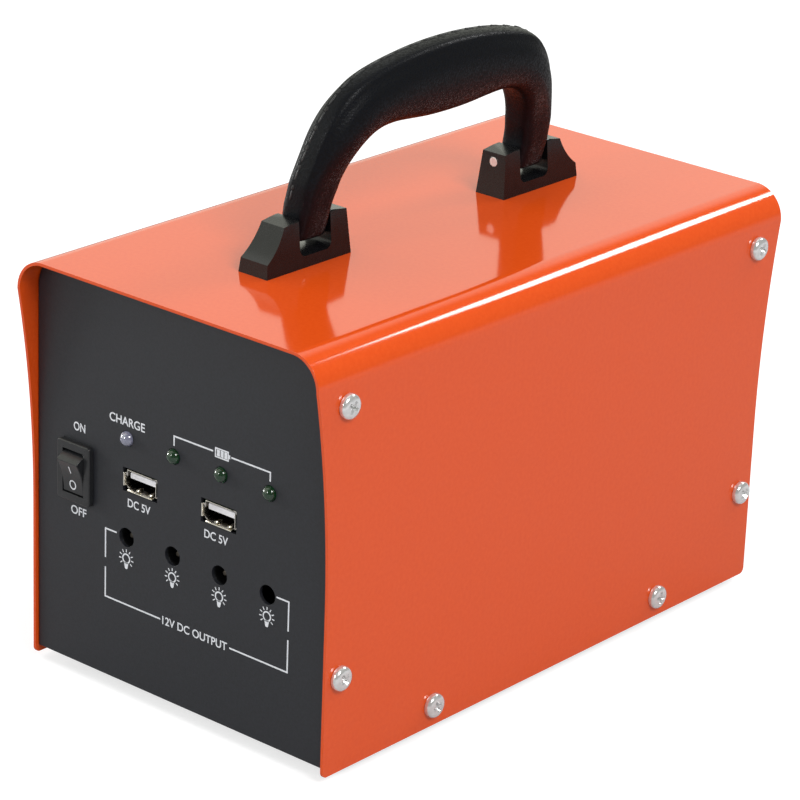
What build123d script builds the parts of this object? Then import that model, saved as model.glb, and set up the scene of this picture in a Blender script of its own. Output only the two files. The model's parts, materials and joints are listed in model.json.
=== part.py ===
from build123d import *
import os
from math import cos, pi, radians, sin, sqrt, tan

os.makedirs("parts", exist_ok=True)

# Portable power station: a folded steel cover over a front panel, a rear panel and a base tray,
# with a fold-down handle on two brackets, a rocker switch, sockets, a control board and a battery.
# Millimetres. +X is the object's right as seen from its front, -Y is the front, +Z is up.
# The origin is the middle of the footprint, on the surface that the feet stand on.

# ---------------------------------------------------------------- driving dimensions
cover_width = 126.0
cover_height = 137.4
cover_sheet = 1.0
bend_radius = 10.7
straight_depth = 216.8
flare_start = 55.0
flare_radius = 397.0
cover_corner_radius = 2.0

feet_height = 5.0
feet_radius = 7.0
feet_inset_x = 20.0
feet_inset_y = 22.0
skirt_drop = 2.4
tray_sheet = 1.0
tray_flange_height = 12.0

panel_sheet = 1.2
panel_recess = 1.1
panel_gap = 0.1
side_flange_depth = 14.0
bottom_flange_depth = 12.0

side_screw_radius = 2.0
side_screw_head_radius = 4.0
side_screw_head_height = 2.5
side_screw_length = 7.0
corner_screw_inset = 6.4
corner_screw_low = 32.0
corner_screw_drop = 17.4
tray_screw_y = 57.5
tray_screw_height = 7.4
clinch_nut_radius = 3.4
clinch_nut_length = 3.0
thread_gap = 0.05
hole_gap = 0.25

small_screw_radius = 1.5
small_head_radius = 2.75
small_head_height = 1.8

bracket_inner = 37.6
bracket_outer = 76.0
bracket_half_base = 6.0
bracket_half_top = 4.65
bracket_rim = 14.6
bracket_top = 15.7
bracket_corner = 0.8
slot_inner = 46.4
slot_outer = 60.7
slot_floor = 4.7
slot_floor_radius = 2.5
slot_floor_drop = 1.0
slot_crown_half = 5.5
pivot_height = 11.5
pivot_radius = 1.65
pivot_running_gap = 0.05

handle_lean = 11.5
handle_rise = 52.8
grip_half_width = 8.0
leg_half_width = 5.5
band_half_width = 4.5
leg_start = 6.5
tongue_half_width = 4.2
tongue_side_gap = 0.3
core_half_width = 3.0
core_inset = 4.0

switch_x = -44.1
switch_height = 68.7
bezel_width = 14.4
bezel_height = 20.1
bezel_depth = 2.0
switch_body_width = 12.8
switch_body_height = 18.6
switch_body_depth = 16.0
rocker_width = 9.0
rocker_opening_height = 14.8
rocker_side_gap = 0.1
rocker_corner_radius = 7.72
rocker_corner_angle = 49.75
rocker_tilt = 14.9
rocker_pivot_depth = 3.5
rocker_pin_radius = 1.2
rocker_valley = 0.83

led_height = 86.1
led_radius = 2.5
led_dome_length = 4.0
led_gap = 0.1
outlet_pitch = 20.0
outlet_first_x = -22.2
jack_height = 52.8
jack_bore = 3.2
jack_body_width = 9.0
jack_bore_depth = 9.5
jack_pin_radius = 1.05

usb_left_x = -16.5
usb_right_x = 17.0
usb_height = 72.35
usb_width = 13.1
usb_opening_height = 5.6
usb_wall = 0.3
usb_flare = 0.55
usb_flare_length = 1.2
usb_depth = 14.0

board_gap = 12.5
board_thickness = 1.6
board_left = -33.0
board_right = 48.5
board_low = 41.5
board_high = 95.5
board_stud_radius = 2.5
board_stud_inset = 3.5

battery_length = 151.0
battery_width = 65.0
battery_height = 94.0
battery_wall = 2.5
battery_lid_height = 6.0
battery_back_gap = 9.6
foam_thickness = 3.0
strap_width = 20.0
strap_thickness = 1.2
strap_gap = 0.3
strap_foot = 13.0

inlet_x = -38.0
inlet_height = 30.0
lead_radius = 1.3

# ---------------------------------------------------------------- derived places
tray_bottom = feet_height
tray_top = tray_bottom + tray_sheet
cover_base = tray_bottom - skirt_drop
cover_top = cover_base + cover_height
cover_inside = cover_width / 2 - cover_sheet
ceiling = cover_top - cover_sheet
half_straight = straight_depth / 2
panel_front = half_straight - panel_recess
panel_back = panel_front - panel_sheet
corner_screw_y = half_straight - corner_screw_inset
pivot_z = cover_top + pivot_height
board_front = panel_back - board_gap
board_back = board_front - board_thickness
battery_middle_y = panel_back - battery_back_gap - battery_length / 2


def edge_depth(height):
    """Half depth of the cover at a height above its lower edge."""
    rise = max(0.0, min(height, cover_height - bend_radius) - flare_start)
    return half_straight + flare_radius - sqrt(flare_radius**2 - rise**2)


def arch_outline(width, bottom, top, radius):
    """A tall outline with its two top corners rounded, in a plane's own axes."""
    with BuildSketch() as outline:
        with Locations((0, (bottom + top) / 2)):
            Rectangle(width, top - bottom)
        fillet(outline.vertices().group_by(Axis.Y)[-1], radius)
    return outline.sketch


def pan_screw(head_radius, head_height, shank_radius, shank_length):
    """A cross-recess pan-head screw along Z, with its head seated on the XY plane."""
    with BuildPart() as screw:
        Cylinder(head_radius, head_height, align=(Align.CENTER, Align.CENTER, Align.MIN))
        fillet(screw.edges().sort_by(Axis.Z)[-1], head_height * 0.55)
        Cylinder(shank_radius, shank_length, align=(Align.CENTER, Align.CENTER, Align.MAX))
        with Locations((0, 0, head_height)):
            for turn in (0, 90):
                Box(
                    head_radius * 1.1,
                    head_radius * 0.28,
                    head_height * 1.2,
                    rotation=(0, 0, turn),
                    mode=Mode.SUBTRACT,
                )
    return screw.part


def place_copies(piece, places):
    """Copies of one solid at a list of locations, kept as separate solids."""
    return [piece.moved(place) for place in places]


def tube(points, radii, radius):
    """A round lead along straight runs joined by arcs."""
    with BuildPart() as lead:
        with BuildLine() as route:
            FilletPolyline(*points, radius=radii)
        start = route.line @ 0
        heading = route.line % 0
        with BuildSketch(Plane(origin=start, z_dir=heading)):
            Circle(radius)
        sweep(path=route.line)
    return lead.part


# ---------------------------------------------------------------- cover
def cover_side():
    """The side view of the cover: straight lower edges, flared above, small lower corners."""
    knee = cover_base + flare_start
    brow = cover_top - bend_radius
    with BuildSketch() as side:
        with BuildLine():
            Line((0, cover_base), (half_straight, cover_base))
            Line((half_straight, cover_base), (half_straight, knee))
            ThreePointArc(
                (half_straight, knee),
                (edge_depth((knee + brow) / 2 - cover_base), (knee + brow) / 2),
                (edge_depth(cover_height), brow),
            )
            Line((edge_depth(cover_height), brow), (edge_depth(cover_height), cover_top + 1))
            Line((edge_depth(cover_height), cover_top + 1), (0, cover_top + 1))
            mirror(about=Plane.YZ)
        make_face()
        fillet(side.vertices().group_by(Axis.Y)[0].sort_by(Axis.X)[-1], cover_corner_radius)
        fillet(side.vertices().group_by(Axis.Y)[0].sort_by(Axis.X)[0], cover_corner_radius)
    return side.sketch


corner_screw_places = [
    (end * corner_screw_y, cover_base + height)
    for end in (-1, 1)
    for height in (corner_screw_low, cover_height - corner_screw_drop)
]
tray_screw_places = [(end * tray_screw_y, cover_base + tray_screw_height) for end in (-1, 1)]
bracket_screw_y = [bracket_inner + 4.5, bracket_outer - 6.5]
insert_radius = 2.3
insert_length = 5.0
load_plate_sheet = 2.0

with BuildPart() as cover:
    with BuildSketch(Plane.XZ):
        add(arch_outline(cover_width, cover_base, cover_top, bend_radius))
        add(
            arch_outline(2 * cover_inside, cover_base - 5, ceiling, bend_radius - cover_sheet),
            mode=Mode.SUBTRACT,
        )
    extrude(amount=edge_depth(cover_height) + 5, both=True)
    with BuildSketch(Plane.YZ):
        add(cover_side())
    extrude(amount=cover_width, both=True, mode=Mode.INTERSECT)
    for y, z in corner_screw_places + tray_screw_places:
        with Locations(Location((0, y, z), (0, 90, 0))):
            Cylinder(side_screw_radius + hole_gap, 2 * cover_width, mode=Mode.SUBTRACT)
    for y in bracket_screw_y:
        with Locations((0, y, ceiling), (0, -y, ceiling)):
            Cylinder(small_screw_radius + hole_gap, 4 * cover_sheet, mode=Mode.SUBTRACT)
cover.part.label = "cover"
export_step(cover.part, "parts/cover.step")

# ---------------------------------------------------------------- end panels and base tray
panel_half = cover_inside - panel_gap
panel_top = ceiling - panel_gap
panel_corner = bend_radius - cover_sheet - panel_gap
panel_edge_radius = 0.8
flange_low = tray_top + tray_flange_height - 4
flange_high = cover_top - bend_radius - 1.5
bottom_flange_width = 2 * panel_half - 24
bottom_screw_x = 30.0
bottom_screw_y = panel_back - bottom_flange_depth / 2


def end_panel():
    """Sheet panel in the front position, with side and bottom flanges and no openings."""
    with BuildPart() as panel:
        with BuildSketch(Plane.XZ.offset(panel_back)):
            add(arch_outline(2 * panel_half, tray_bottom, panel_top, panel_corner))
        extrude(amount=panel_sheet)
        fillet(panel.faces().sort_by(Axis.Y)[0].outer_wire().edges(), panel_edge_radius)
        for side in (-1, 1):
            middle = side * (panel_half - panel_sheet / 2)
            with Locations((middle, -panel_front + panel_edge_radius, (flange_low + flange_high) / 2)):
                Box(
                    panel_sheet,
                    side_flange_depth,
                    flange_high - flange_low,
                    align=(Align.CENTER, Align.MIN, Align.CENTER),
                )
        with Locations((0, -panel_back - panel_sheet / 2, tray_top + panel_sheet / 2)):
            Box(
                bottom_flange_width,
                bottom_flange_depth,
                panel_sheet,
                align=(Align.CENTER, Align.MIN, Align.CENTER),
            )
        for y, z in corner_screw_places:
            with Locations(Location((0, y, z), (0, 90, 0))):
                Cylinder(side_screw_radius + hole_gap, 2 * cover_width, mode=Mode.SUBTRACT)
        with Locations((bottom_screw_x, -bottom_screw_y), (-bottom_screw_x, -bottom_screw_y)):
            Cylinder(small_screw_radius + hole_gap, 3 * feet_height, mode=Mode.SUBTRACT)
    return panel.part


switch_z = cover_base + switch_height
led_z = cover_base + led_height
jack_z = cover_base + jack_height
usb_z = cover_base + usb_height
outlet_x = [outlet_first_x + n * outlet_pitch for n in range(4)]
usb_x = [usb_left_x, usb_right_x]
switch_cutout_gap = 0.1
usb_cutout_gap = 0.3
usb_window_width = usb_width + 2 * (usb_flare + usb_cutout_gap)
usb_window_height = usb_opening_height + 2 * (usb_wall + usb_flare + usb_cutout_gap)
board_stud_places = [
    (x, z)
    for x in (board_left + board_stud_inset, board_right - board_stud_inset)
    for z in (cover_base + board_low + board_stud_inset, cover_base + board_high - board_stud_inset)
]

with BuildPart() as front_panel:
    add(end_panel())
    with BuildSketch(Plane.XZ.offset(panel_front + 1)):
        with Locations((switch_x, switch_z)):
            Rectangle(
                switch_body_width + 2 * switch_cutout_gap,
                switch_body_height + 2 * switch_cutout_gap,
            )
        with Locations(*[(x, usb_z) for x in usb_x]):
            Rectangle(usb_window_width, usb_window_height)
        with Locations(*[(x, jack_z) for x in outlet_x]):
            Circle(jack_bore)
        with Locations(*[(x, led_z) for x in outlet_x]):
            Circle(led_radius + led_gap)
    extrude(amount=-3 * panel_sheet, mode=Mode.SUBTRACT)
front_panel.part.label = "front_panel"
export_step(front_panel.part, "parts/front_panel.step")

vent_width = 2.5
vent_length = 24.0
vent_pitch = 7.0
vent_count = 11
vent_rows = [cover_base + 100.0, cover_base + 68.0]
inlet_z = cover_base + inlet_height
inlet_thread_radius = 5.5
inlet_bore = 3.2
inlet_flange_radius = 6.8
inlet_flange_thickness = 2.0
inlet_length = 13.0
inlet_tail = (3.0, 3.0, 5.0)
inlet_nut_flat = 14.0
inlet_nut_thickness = 2.5
inlet_mouth = panel_front + inlet_flange_thickness

with BuildPart() as rear_panel:
    add(mirror(end_panel(), about=Plane.XZ))
    with BuildSketch(Plane.XZ.offset(-panel_front - 1)):
        for row in vent_rows:
            with Locations((0, row)):
                with GridLocations(vent_pitch, 1, vent_count, 1):
                    SlotOverall(vent_length, vent_width, rotation=90)
        with Locations((inlet_x, inlet_z)):
            Circle(inlet_thread_radius + led_gap)
    extrude(amount=3 * panel_sheet, mode=Mode.SUBTRACT)
rear_panel.part.label = "rear_panel"
export_step(rear_panel.part, "parts/rear_panel.step")

feet_x = cover_width / 2 - feet_inset_x
feet_y = half_straight - feet_inset_y
strap_screw_x = battery_width / 2 + strap_gap + strap_thickness + strap_foot / 2
tray_flange_half = panel_front - side_flange_depth - 2
base_screw_places = (
    [(x, y) for x in (-feet_x, feet_x) for y in (-feet_y, feet_y)]
    + [(x, y) for x in (-bottom_screw_x, bottom_screw_x) for y in (-bottom_screw_y, bottom_screw_y)]
    + [(x, battery_middle_y) for x in (-strap_screw_x, strap_screw_x)]
)

with BuildPart() as base_tray:
    with Locations((0, 0, tray_bottom + tray_sheet / 2)):
        Box(2 * panel_half, 2 * panel_back, tray_sheet)
    for side in (-1, 1):
        with Locations((side * (panel_half - tray_sheet / 2), 0, tray_bottom)):
            Box(
                tray_sheet,
                2 * tray_flange_half,
                tray_sheet + tray_flange_height,
                align=(Align.CENTER, Align.CENTER, Align.MIN),
            )
    fillet(
        base_tray.edges().filter_by(Axis.Y).group_by(Axis.Z)[0].filter_by(
            lambda edge: abs(edge.length - 2 * panel_back) < 0.1
        ),
        tray_sheet * 0.7,
    )
    for y, z in tray_screw_places:
        with Locations(Location((0, y, z), (0, 90, 0))):
            Cylinder(side_screw_radius + hole_gap, 2 * cover_width, mode=Mode.SUBTRACT)
    with Locations(*base_screw_places):
        Cylinder(small_screw_radius + hole_gap, 3 * feet_height, mode=Mode.SUBTRACT)
base_tray.part.label = "base_tray"
export_step(base_tray.part, "parts/base_tray.step")

# ---------------------------------------------------------------- screws and nuts of the case
side_screw = pan_screw(
    side_screw_head_radius, side_screw_head_height, side_screw_radius, side_screw_length
)
side_screw_places = [
    Location((side * cover_width / 2, y, z), (0, side * 90, 0))
    for side in (-1, 1)
    for y, z in corner_screw_places + tray_screw_places
]
with BuildPart() as cover_screws:
    add(place_copies(side_screw, side_screw_places))
cover_screws.part.label = "cover_screws"
export_step(cover_screws.part, "parts/cover_screws.step")

with BuildPart() as clinch_nut:
    Cylinder(clinch_nut_radius, clinch_nut_length, align=(Align.CENTER, Align.CENTER, Align.MAX))
    Cylinder(side_screw_radius + thread_gap, 4 * clinch_nut_length, mode=Mode.SUBTRACT)
clinch_nut_places = [
    Location((side * (panel_half - sheet), y, z), (0, side * 90, 0))
    for side in (-1, 1)
    for sheet, places in ((panel_sheet, corner_screw_places), (tray_sheet, tray_screw_places))
    for y, z in places
]
with BuildPart() as cover_nuts:
    add(place_copies(clinch_nut.part, clinch_nut_places))
cover_nuts.part.label = "cover_nuts"
export_step(cover_nuts.part, "parts/cover_nuts.step")

base_nut_height = 2.4
base_nut_flat = 5.5
base_screw_length = 6.0
foot_recess = 2.6

with BuildPart() as base_nut:
    with BuildSketch():
        RegularPolygon(base_nut_flat / 2, 6, major_radius=False)
        Circle(small_screw_radius + thread_gap, mode=Mode.SUBTRACT)
    extrude(amount=base_nut_height)
nut_seats = [tray_top] * 4 + [tray_top + panel_sheet] * 4 + [tray_top + strap_thickness] * 2
with BuildPart() as base_nuts:
    add(place_copies(base_nut.part, [
        Location((x, y, seat)) for (x, y), seat in zip(base_screw_places, nut_seats)
    ]))
base_nuts.part.label = "base_nuts"
export_step(base_nuts.part, "parts/base_nuts.step")

tray_screw = pan_screw(small_head_radius, small_head_height, small_screw_radius, base_screw_length)
foot_screw = pan_screw(
    small_head_radius,
    small_head_height,
    small_screw_radius,
    base_screw_length + feet_height - foot_recess,
)
for name, screw, seat, places in (
    ("foot_screws", foot_screw, foot_recess, base_screw_places[:4]),
    ("tray_screws", tray_screw, tray_bottom, base_screw_places[4:]),
):
    with BuildPart() as screw_group:
        add(place_copies(screw, [Location((x, y, seat), (180, 0, 0)) for x, y in places]))
    screw_group.part.label = name
    export_step(screw_group.part, f"parts/{name}.step")

with BuildPart() as foot:
    Cone(feet_radius - 1, feet_radius, feet_height, align=(Align.CENTER, Align.CENTER, Align.MIN))
    fillet(foot.edges().sort_by(Axis.Z)[0], 0.8)
    Cylinder(
        small_head_radius + 0.4,
        foot_recess,
        align=(Align.CENTER, Align.CENTER, Align.MIN),
        mode=Mode.SUBTRACT,
    )
    Cylinder(small_screw_radius + hole_gap, 3 * feet_height, mode=Mode.SUBTRACT)
with BuildPart() as rubber_feet:
    add(place_copies(foot.part, [Location((x, y, 0)) for x, y in base_screw_places[:4]]))
rubber_feet.part.label = "rubber_feet"
export_step(rubber_feet.part, "parts/rubber_feet.step")

# ---------------------------------------------------------------- handle brackets and their pins
cheek_lean = 1.3
cheek_outer = 67.4
toe_height = 4.6
toe_lean = 0.5
scoop_inset = 5.3
scoop_height = 9.0
pin_end_y = slot_outer + 5.3
pin_face_y = bracket_inner + cheek_lean * pivot_height / bracket_rim


def handle_bracket():
    """Clevis bracket in the rear position: tapered foot, toe, two cheeks, slot with a crowned floor."""
    with BuildPart() as bracket:
        across = Plane(origin=(0, bracket_inner, cover_top), x_dir=(1, 0, 0), z_dir=(0, -1, 0))
        with BuildSketch(across) as taper:
            with BuildLine():
                Polyline(
                    (-bracket_half_base, 0),
                    (bracket_half_base, 0),
                    (bracket_half_top, bracket_top),
                    (-bracket_half_top, bracket_top),
                    (-bracket_half_base, 0),
                )
            make_face()
            top_corners = taper.vertices().filter_by(
                lambda corner: abs(corner.Y - bracket_top) < 0.01
            )
            fillet(top_corners, bracket_corner)
        extrude(amount=bracket_inner - bracket_outer)
        along = Plane(origin=(0, 0, cover_top), x_dir=(0, 1, 0), z_dir=(1, 0, 0))
        low_floor = slot_floor - slot_floor_drop
        with BuildSketch(along) as profile:
            with BuildLine():
                Polyline(
                    (cheek_outer, bracket_rim),
                    (slot_outer, bracket_top),
                    (slot_outer, low_floor),
                    (slot_inner, low_floor),
                    (slot_inner, bracket_top),
                    (bracket_inner + cheek_lean, bracket_rim),
                    (bracket_inner, 0),
                    (bracket_outer, 0),
                    (bracket_outer - toe_lean, toe_height),
                )
                ThreePointArc(
                    (bracket_outer - toe_lean, toe_height),
                    (bracket_outer - scoop_inset, scoop_height),
                    (cheek_outer, bracket_rim),
                )
            make_face()
            floor_corners = profile.vertices().filter_by(
                lambda corner: abs(corner.Y - low_floor) < 0.01
            )
            fillet(floor_corners, slot_floor_radius)
        extrude(amount=2 * bracket_half_base, both=True, mode=Mode.INTERSECT)
        crown = Plane(
            origin=(0, slot_inner - slot_floor_drop, cover_top),
            x_dir=(1, 0, 0),
            z_dir=(0, -1, 0),
        )
        with BuildSketch(crown):
            with BuildLine():
                ThreePointArc(
                    (-slot_crown_half, low_floor),
                    (0, slot_floor),
                    (slot_crown_half, low_floor),
                )
                Polyline(
                    (slot_crown_half, low_floor),
                    (slot_crown_half, low_floor / 2),
                    (-slot_crown_half, low_floor / 2),
                    (-slot_crown_half, low_floor),
                )
            make_face()
        extrude(amount=slot_inner - slot_outer - 2 * slot_floor_drop)
        with Locations(Location((0, bracket_inner - 1, pivot_z), (-90, 0, 0))):
            Cylinder(
                pivot_radius,
                pin_end_y - bracket_inner + 1,
                align=(Align.CENTER, Align.CENTER, Align.MIN),
                mode=Mode.SUBTRACT,
            )
        with Locations(*[(0, y, cover_top) for y in bracket_screw_y]):
            Cylinder(
                insert_radius,
                insert_length + 0.5,
                align=(Align.CENTER, Align.CENTER, Align.MIN),
                mode=Mode.SUBTRACT,
            )
    return bracket.part


rear_bracket = handle_bracket()
for name, bracket in (
    ("handle_bracket_rear", rear_bracket),
    ("handle_bracket_front", mirror(rear_bracket, about=Plane.XZ)),
):
    with BuildPart() as bracket_piece:
        add(bracket)
    bracket_piece.part.label = name
    export_step(bracket_piece.part, f"parts/{name}.step")

with BuildPart() as pivot_pins:
    for turn, y in ((-90, pin_face_y), (90, -pin_face_y)):
        with Locations(Location((0, y, pivot_z), (turn, 0, 0))):
            Cylinder(
                pivot_radius,
                pin_end_y - pin_face_y,
                align=(Align.CENTER, Align.CENTER, Align.MIN),
            )
pivot_pins.part.label = "pivot_pins"
export_step(pivot_pins.part, "parts/pivot_pins.step")

with BuildPart() as bracket_inserts:
    for y in bracket_screw_y:
        with Locations((0, y, cover_top), (0, -y, cover_top)):
            Cylinder(insert_radius, insert_length, align=(Align.CENTER, Align.CENTER, Align.MIN))
            Cylinder(small_screw_radius + thread_gap, 4 * insert_length, mode=Mode.SUBTRACT)
bracket_inserts.part.label = "bracket_inserts"
export_step(bracket_inserts.part, "parts/bracket_inserts.step")

with BuildPart() as load_plates:
    for end in (-1, 1):
        with Locations((0, end * (bracket_inner + bracket_outer) / 2, ceiling)):
            Box(
                3 * bracket_half_base,
                bracket_outer - bracket_inner,
                load_plate_sheet,
                align=(Align.CENTER, Align.CENTER, Align.MAX),
            )
    for y in bracket_screw_y:
        with Locations((0, y, ceiling), (0, -y, ceiling)):
            Cylinder(small_screw_radius + hole_gap, 4 * load_plate_sheet, mode=Mode.SUBTRACT)
load_plates.part.label = "load_plates"
export_step(load_plates.part, "parts/load_plates.step")

bracket_screw = pan_screw(
    small_head_radius,
    small_head_height,
    small_screw_radius,
    load_plate_sheet + cover_sheet + insert_length,
)
with BuildPart() as bracket_screws:
    add(place_copies(bracket_screw, [
        Location((0, end * y, ceiling - load_plate_sheet), (180, 0, 0))
        for end in (-1, 1)
        for y in bracket_screw_y
    ]))
bracket_screws.part.label = "bracket_screws"
export_step(bracket_screws.part, "parts/bracket_screws.step")

# ---------------------------------------------------------------- handle
lean = radians(handle_lean)
leg_middle = (slot_inner + slot_outer) / 2
leg_thickness = 14.8
leg_outer = leg_middle + leg_thickness / 2
leg_inner = leg_middle - leg_thickness / 2
underside_rise = handle_rise - 23.2
tongue_top = leg_start + 4
side_view = Plane(origin=(0, 0, pivot_z), x_dir=(0, 1, 0), z_dir=(cos(lean), 0, -sin(lean)))
end_view = Plane(origin=(0, 0, pivot_z), x_dir=(cos(lean), 0, -sin(lean)), z_dir=(0, -1, 0))

# Each share pair is a share of the leg's distance from the middle and of the rise of the curve.
outer_shape = [(0.985, 0.27), (0.95, 0.42), (0.905, 0.57), (0.83, 0.725), (0.71, 0.858)]
outer_shape += [(0.56, 0.925), (0.3, 0.98)]
inner_shape = [(0.97, 0.5), (0.93, 0.73), (0.85, 0.92), (0.735, 1.025), (0.6, 1.06)]
inner_shape += [(0.39, 1.04), (0.2, 1.01)]


def arch_curve(reach, rise, shape):
    """Points of one edge of the handle, from its left end over the top to its right end."""
    half = [(reach, leg_start)] + [(reach * across, rise * up) for across, up in shape]
    return [(-x, y) for x, y in half] + [(0, rise)] + half[::-1]


def handle_side(inset):
    """The handle's outline seen from its side, or the same arch a little inside it."""
    outer = leg_outer - inset
    inner = leg_inner + inset
    with BuildSketch() as side:
        with BuildLine():
            Spline(*arch_curve(outer, handle_rise - inset, outer_shape))
            Spline(*arch_curve(inner, underside_rise + inset, inner_shape))
            Line((inner, leg_start), (outer, leg_start))
            Line((-inner, leg_start), (-outer, leg_start))
        make_face()
    return side.sketch


with BuildPart() as handle_core:
    with BuildSketch(side_view):
        add(handle_side(core_inset))
    extrude(amount=core_half_width, both=True)
    with BuildSketch(end_view):
        Circle(tongue_half_width)
        Rectangle(2 * tongue_half_width, tongue_top, align=(Align.CENTER, Align.MIN))
    extrude(amount=slot_outer - tongue_side_gap, both=True)
    with BuildSketch(end_view):
        Rectangle(4 * tongue_half_width, 4 * tongue_half_width)
        with Locations((0, tongue_top / 2)):
            Rectangle(4 * tongue_half_width, tongue_top + 2)
    extrude(amount=slot_inner + tongue_side_gap, both=True, mode=Mode.SUBTRACT)
    with Locations(Location((0, 0, pivot_z), (90, 0, 0))):
        Cylinder(pivot_radius + pivot_running_gap, 4 * slot_outer, mode=Mode.SUBTRACT)
handle_core.part.label = "handle_core"
export_step(handle_core.part, "parts/handle_core.step")

with BuildPart() as handle_grip:
    with BuildSketch(side_view):
        add(handle_side(0))
    extrude(amount=grip_half_width, both=True)
    with BuildSketch(end_view):
        with BuildLine():
            Line((0, leg_start - 1), (leg_half_width, leg_start - 1))
            Line((leg_half_width, leg_start - 1), (leg_half_width, 2 * leg_start))
            Spline(
                (leg_half_width, 2 * leg_start),
                ((leg_half_width + grip_half_width) / 2, underside_rise * 0.68),
                (grip_half_width, underside_rise),
                tangents=[(0, 1), (0, 1)],
            )
            Line((grip_half_width, underside_rise), (grip_half_width, handle_rise * 0.75))
            ThreePointArc(
                (grip_half_width, handle_rise * 0.75),
                (grip_half_width * 0.85, handle_rise * 0.91),
                (band_half_width, handle_rise + 0.5),
            )
            Line((band_half_width, handle_rise + 0.5), (0, handle_rise + 0.5))
            mirror(about=Plane.YZ)
        make_face()
    extrude(amount=leg_outer + 5, both=True, mode=Mode.INTERSECT)
    add(handle_core.part, mode=Mode.SUBTRACT)
handle_grip.part.label = "handle_grip"
export_step(handle_grip.part, "parts/handle_grip.step")

# ---------------------------------------------------------------- rocker switch
bezel_front = panel_front + bezel_depth
rocker_pivot_y = -(bezel_front - rocker_pivot_depth)
opening_width = rocker_width + 2 * rocker_side_gap
switch_back_wall = 2.0
cavity_depth = switch_body_depth - switch_back_wall
terminal_inside = 1.0
rocker_pin_length = 1.1
rocker_end_radius = 7.1
rocker_stem_radius = 1.6
rocker_stem_end = 6.2
plunger_radius = 1.2
plunger_end = 9.0
terminal_width = 4.8
terminal_thickness = 0.8
terminal_length = 8.0
terminal_pitch = 7.5
bezel_corner = 1.2

with BuildPart() as switch_housing:
    with BuildSketch(Plane.XZ.offset(panel_front)):
        with Locations((switch_x, switch_z)):
            RectangleRounded(bezel_width, bezel_height, bezel_corner)
    extrude(amount=bezel_depth)
    fillet(switch_housing.faces().sort_by(Axis.Y)[0].edges(), 0.5)
    with BuildSketch(Plane.XZ.offset(panel_front)):
        with Locations((switch_x, switch_z)):
            Rectangle(switch_body_width, switch_body_height)
    extrude(amount=-switch_body_depth)
    with BuildSketch(Plane.XZ.offset(bezel_front + 1)):
        with Locations((switch_x, switch_z)):
            Rectangle(opening_width, rocker_opening_height)
    extrude(amount=-(cavity_depth + bezel_depth + 1), mode=Mode.SUBTRACT)
    with Locations(Location((switch_x, rocker_pivot_y, switch_z), (0, 90, 0))):
        Cylinder(
            rocker_pin_radius + thread_gap,
            rocker_width + 2 * (rocker_pin_length + rocker_side_gap),
            mode=Mode.SUBTRACT,
        )
    for step in (-0.5, 0.5):
        with Locations((switch_x, -panel_front + switch_body_depth, switch_z + step * terminal_pitch)):
            Box(terminal_width, 3 * switch_back_wall, terminal_thickness, mode=Mode.SUBTRACT)
switch_housing.part.label = "switch_housing"
export_step(switch_housing.part, "parts/switch_housing.step")

with BuildPart() as switch_terminals:
    for step in (-0.5, 0.5):
        with Locations((
            switch_x,
            -panel_front + cavity_depth - terminal_inside,
            switch_z + step * terminal_pitch,
        )):
            Box(
                terminal_width,
                terminal_inside + switch_back_wall + terminal_length,
                terminal_thickness,
                align=(Align.CENTER, Align.MIN, Align.CENTER),
            )
switch_terminals.part.label = "switch_terminals"
export_step(switch_terminals.part, "parts/switch_terminals.step")

tilt = radians(rocker_tilt)
rocker_side = Plane(
    origin=(switch_x, rocker_pivot_y, switch_z),
    x_dir=(0, -sin(tilt), cos(tilt)),
    z_dir=(1, 0, 0),
)
corner_across = rocker_corner_radius * sin(radians(rocker_corner_angle))
corner_up = rocker_corner_radius * cos(radians(rocker_corner_angle))
with BuildPart() as rocker:
    with BuildSketch(rocker_side):
        with BuildLine():
            ThreePointArc(
                (-corner_across, corner_up),
                (0, corner_up - rocker_valley),
                (corner_across, corner_up),
            )
            ThreePointArc(
                (corner_across, corner_up),
                (rocker_end_radius - 0.3, corner_up / 2),
                (rocker_end_radius, 0),
            )
            Polyline(
                (rocker_end_radius, 0),
                (rocker_end_radius - 0.3, -1),
                (2 * rocker_stem_radius, -3.2),
                (-2 * rocker_stem_radius, -3.2),
                (0.3 - rocker_end_radius, -1),
                (-rocker_end_radius, 0),
            )
            ThreePointArc(
                (-rocker_end_radius, 0),
                (0.3 - rocker_end_radius, corner_up / 2),
                (-corner_across, corner_up),
            )
        make_face()
    extrude(amount=rocker_width / 2, both=True)
    with BuildSketch(rocker_side):
        Circle(rocker_pin_radius)
    extrude(amount=rocker_width / 2 + rocker_pin_length, both=True)
    with BuildSketch(rocker_side):
        with Locations((0, -rocker_stem_end)):
            Rectangle(
                2 * rocker_stem_radius,
                rocker_stem_end,
                align=(Align.CENTER, Align.MIN),
            )
    extrude(amount=rocker_stem_radius, both=True)
rocker.part.label = "rocker"
export_step(rocker.part, "parts/rocker.step")

plunger_plane = Plane(
    origin=rocker_side.from_local_coords((0, -rocker_stem_end, 0)),
    z_dir=(0, cos(tilt), sin(tilt)),
)
with BuildPart() as rocker_plunger:
    with BuildSketch(plunger_plane):
        Circle(plunger_radius)
    extrude(amount=plunger_end - rocker_stem_end)
    fillet(rocker_plunger.edges().sort_by(Axis.Y)[-1], plunger_radius * 0.8)
rocker_plunger.part.label = "rocker_plunger"
export_step(rocker_plunger.part, "parts/rocker_plunger.step")

# ---------------------------------------------------------------- indicator LEDs
led_flange_radius = 2.9
led_flange_thickness = 1.0
led_barrel = 5.1
led_base_y = -(panel_front - 0.3 - led_barrel - led_flange_thickness)
led_lead_radius = 0.25
led_lead_spacing = 2.54


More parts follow.
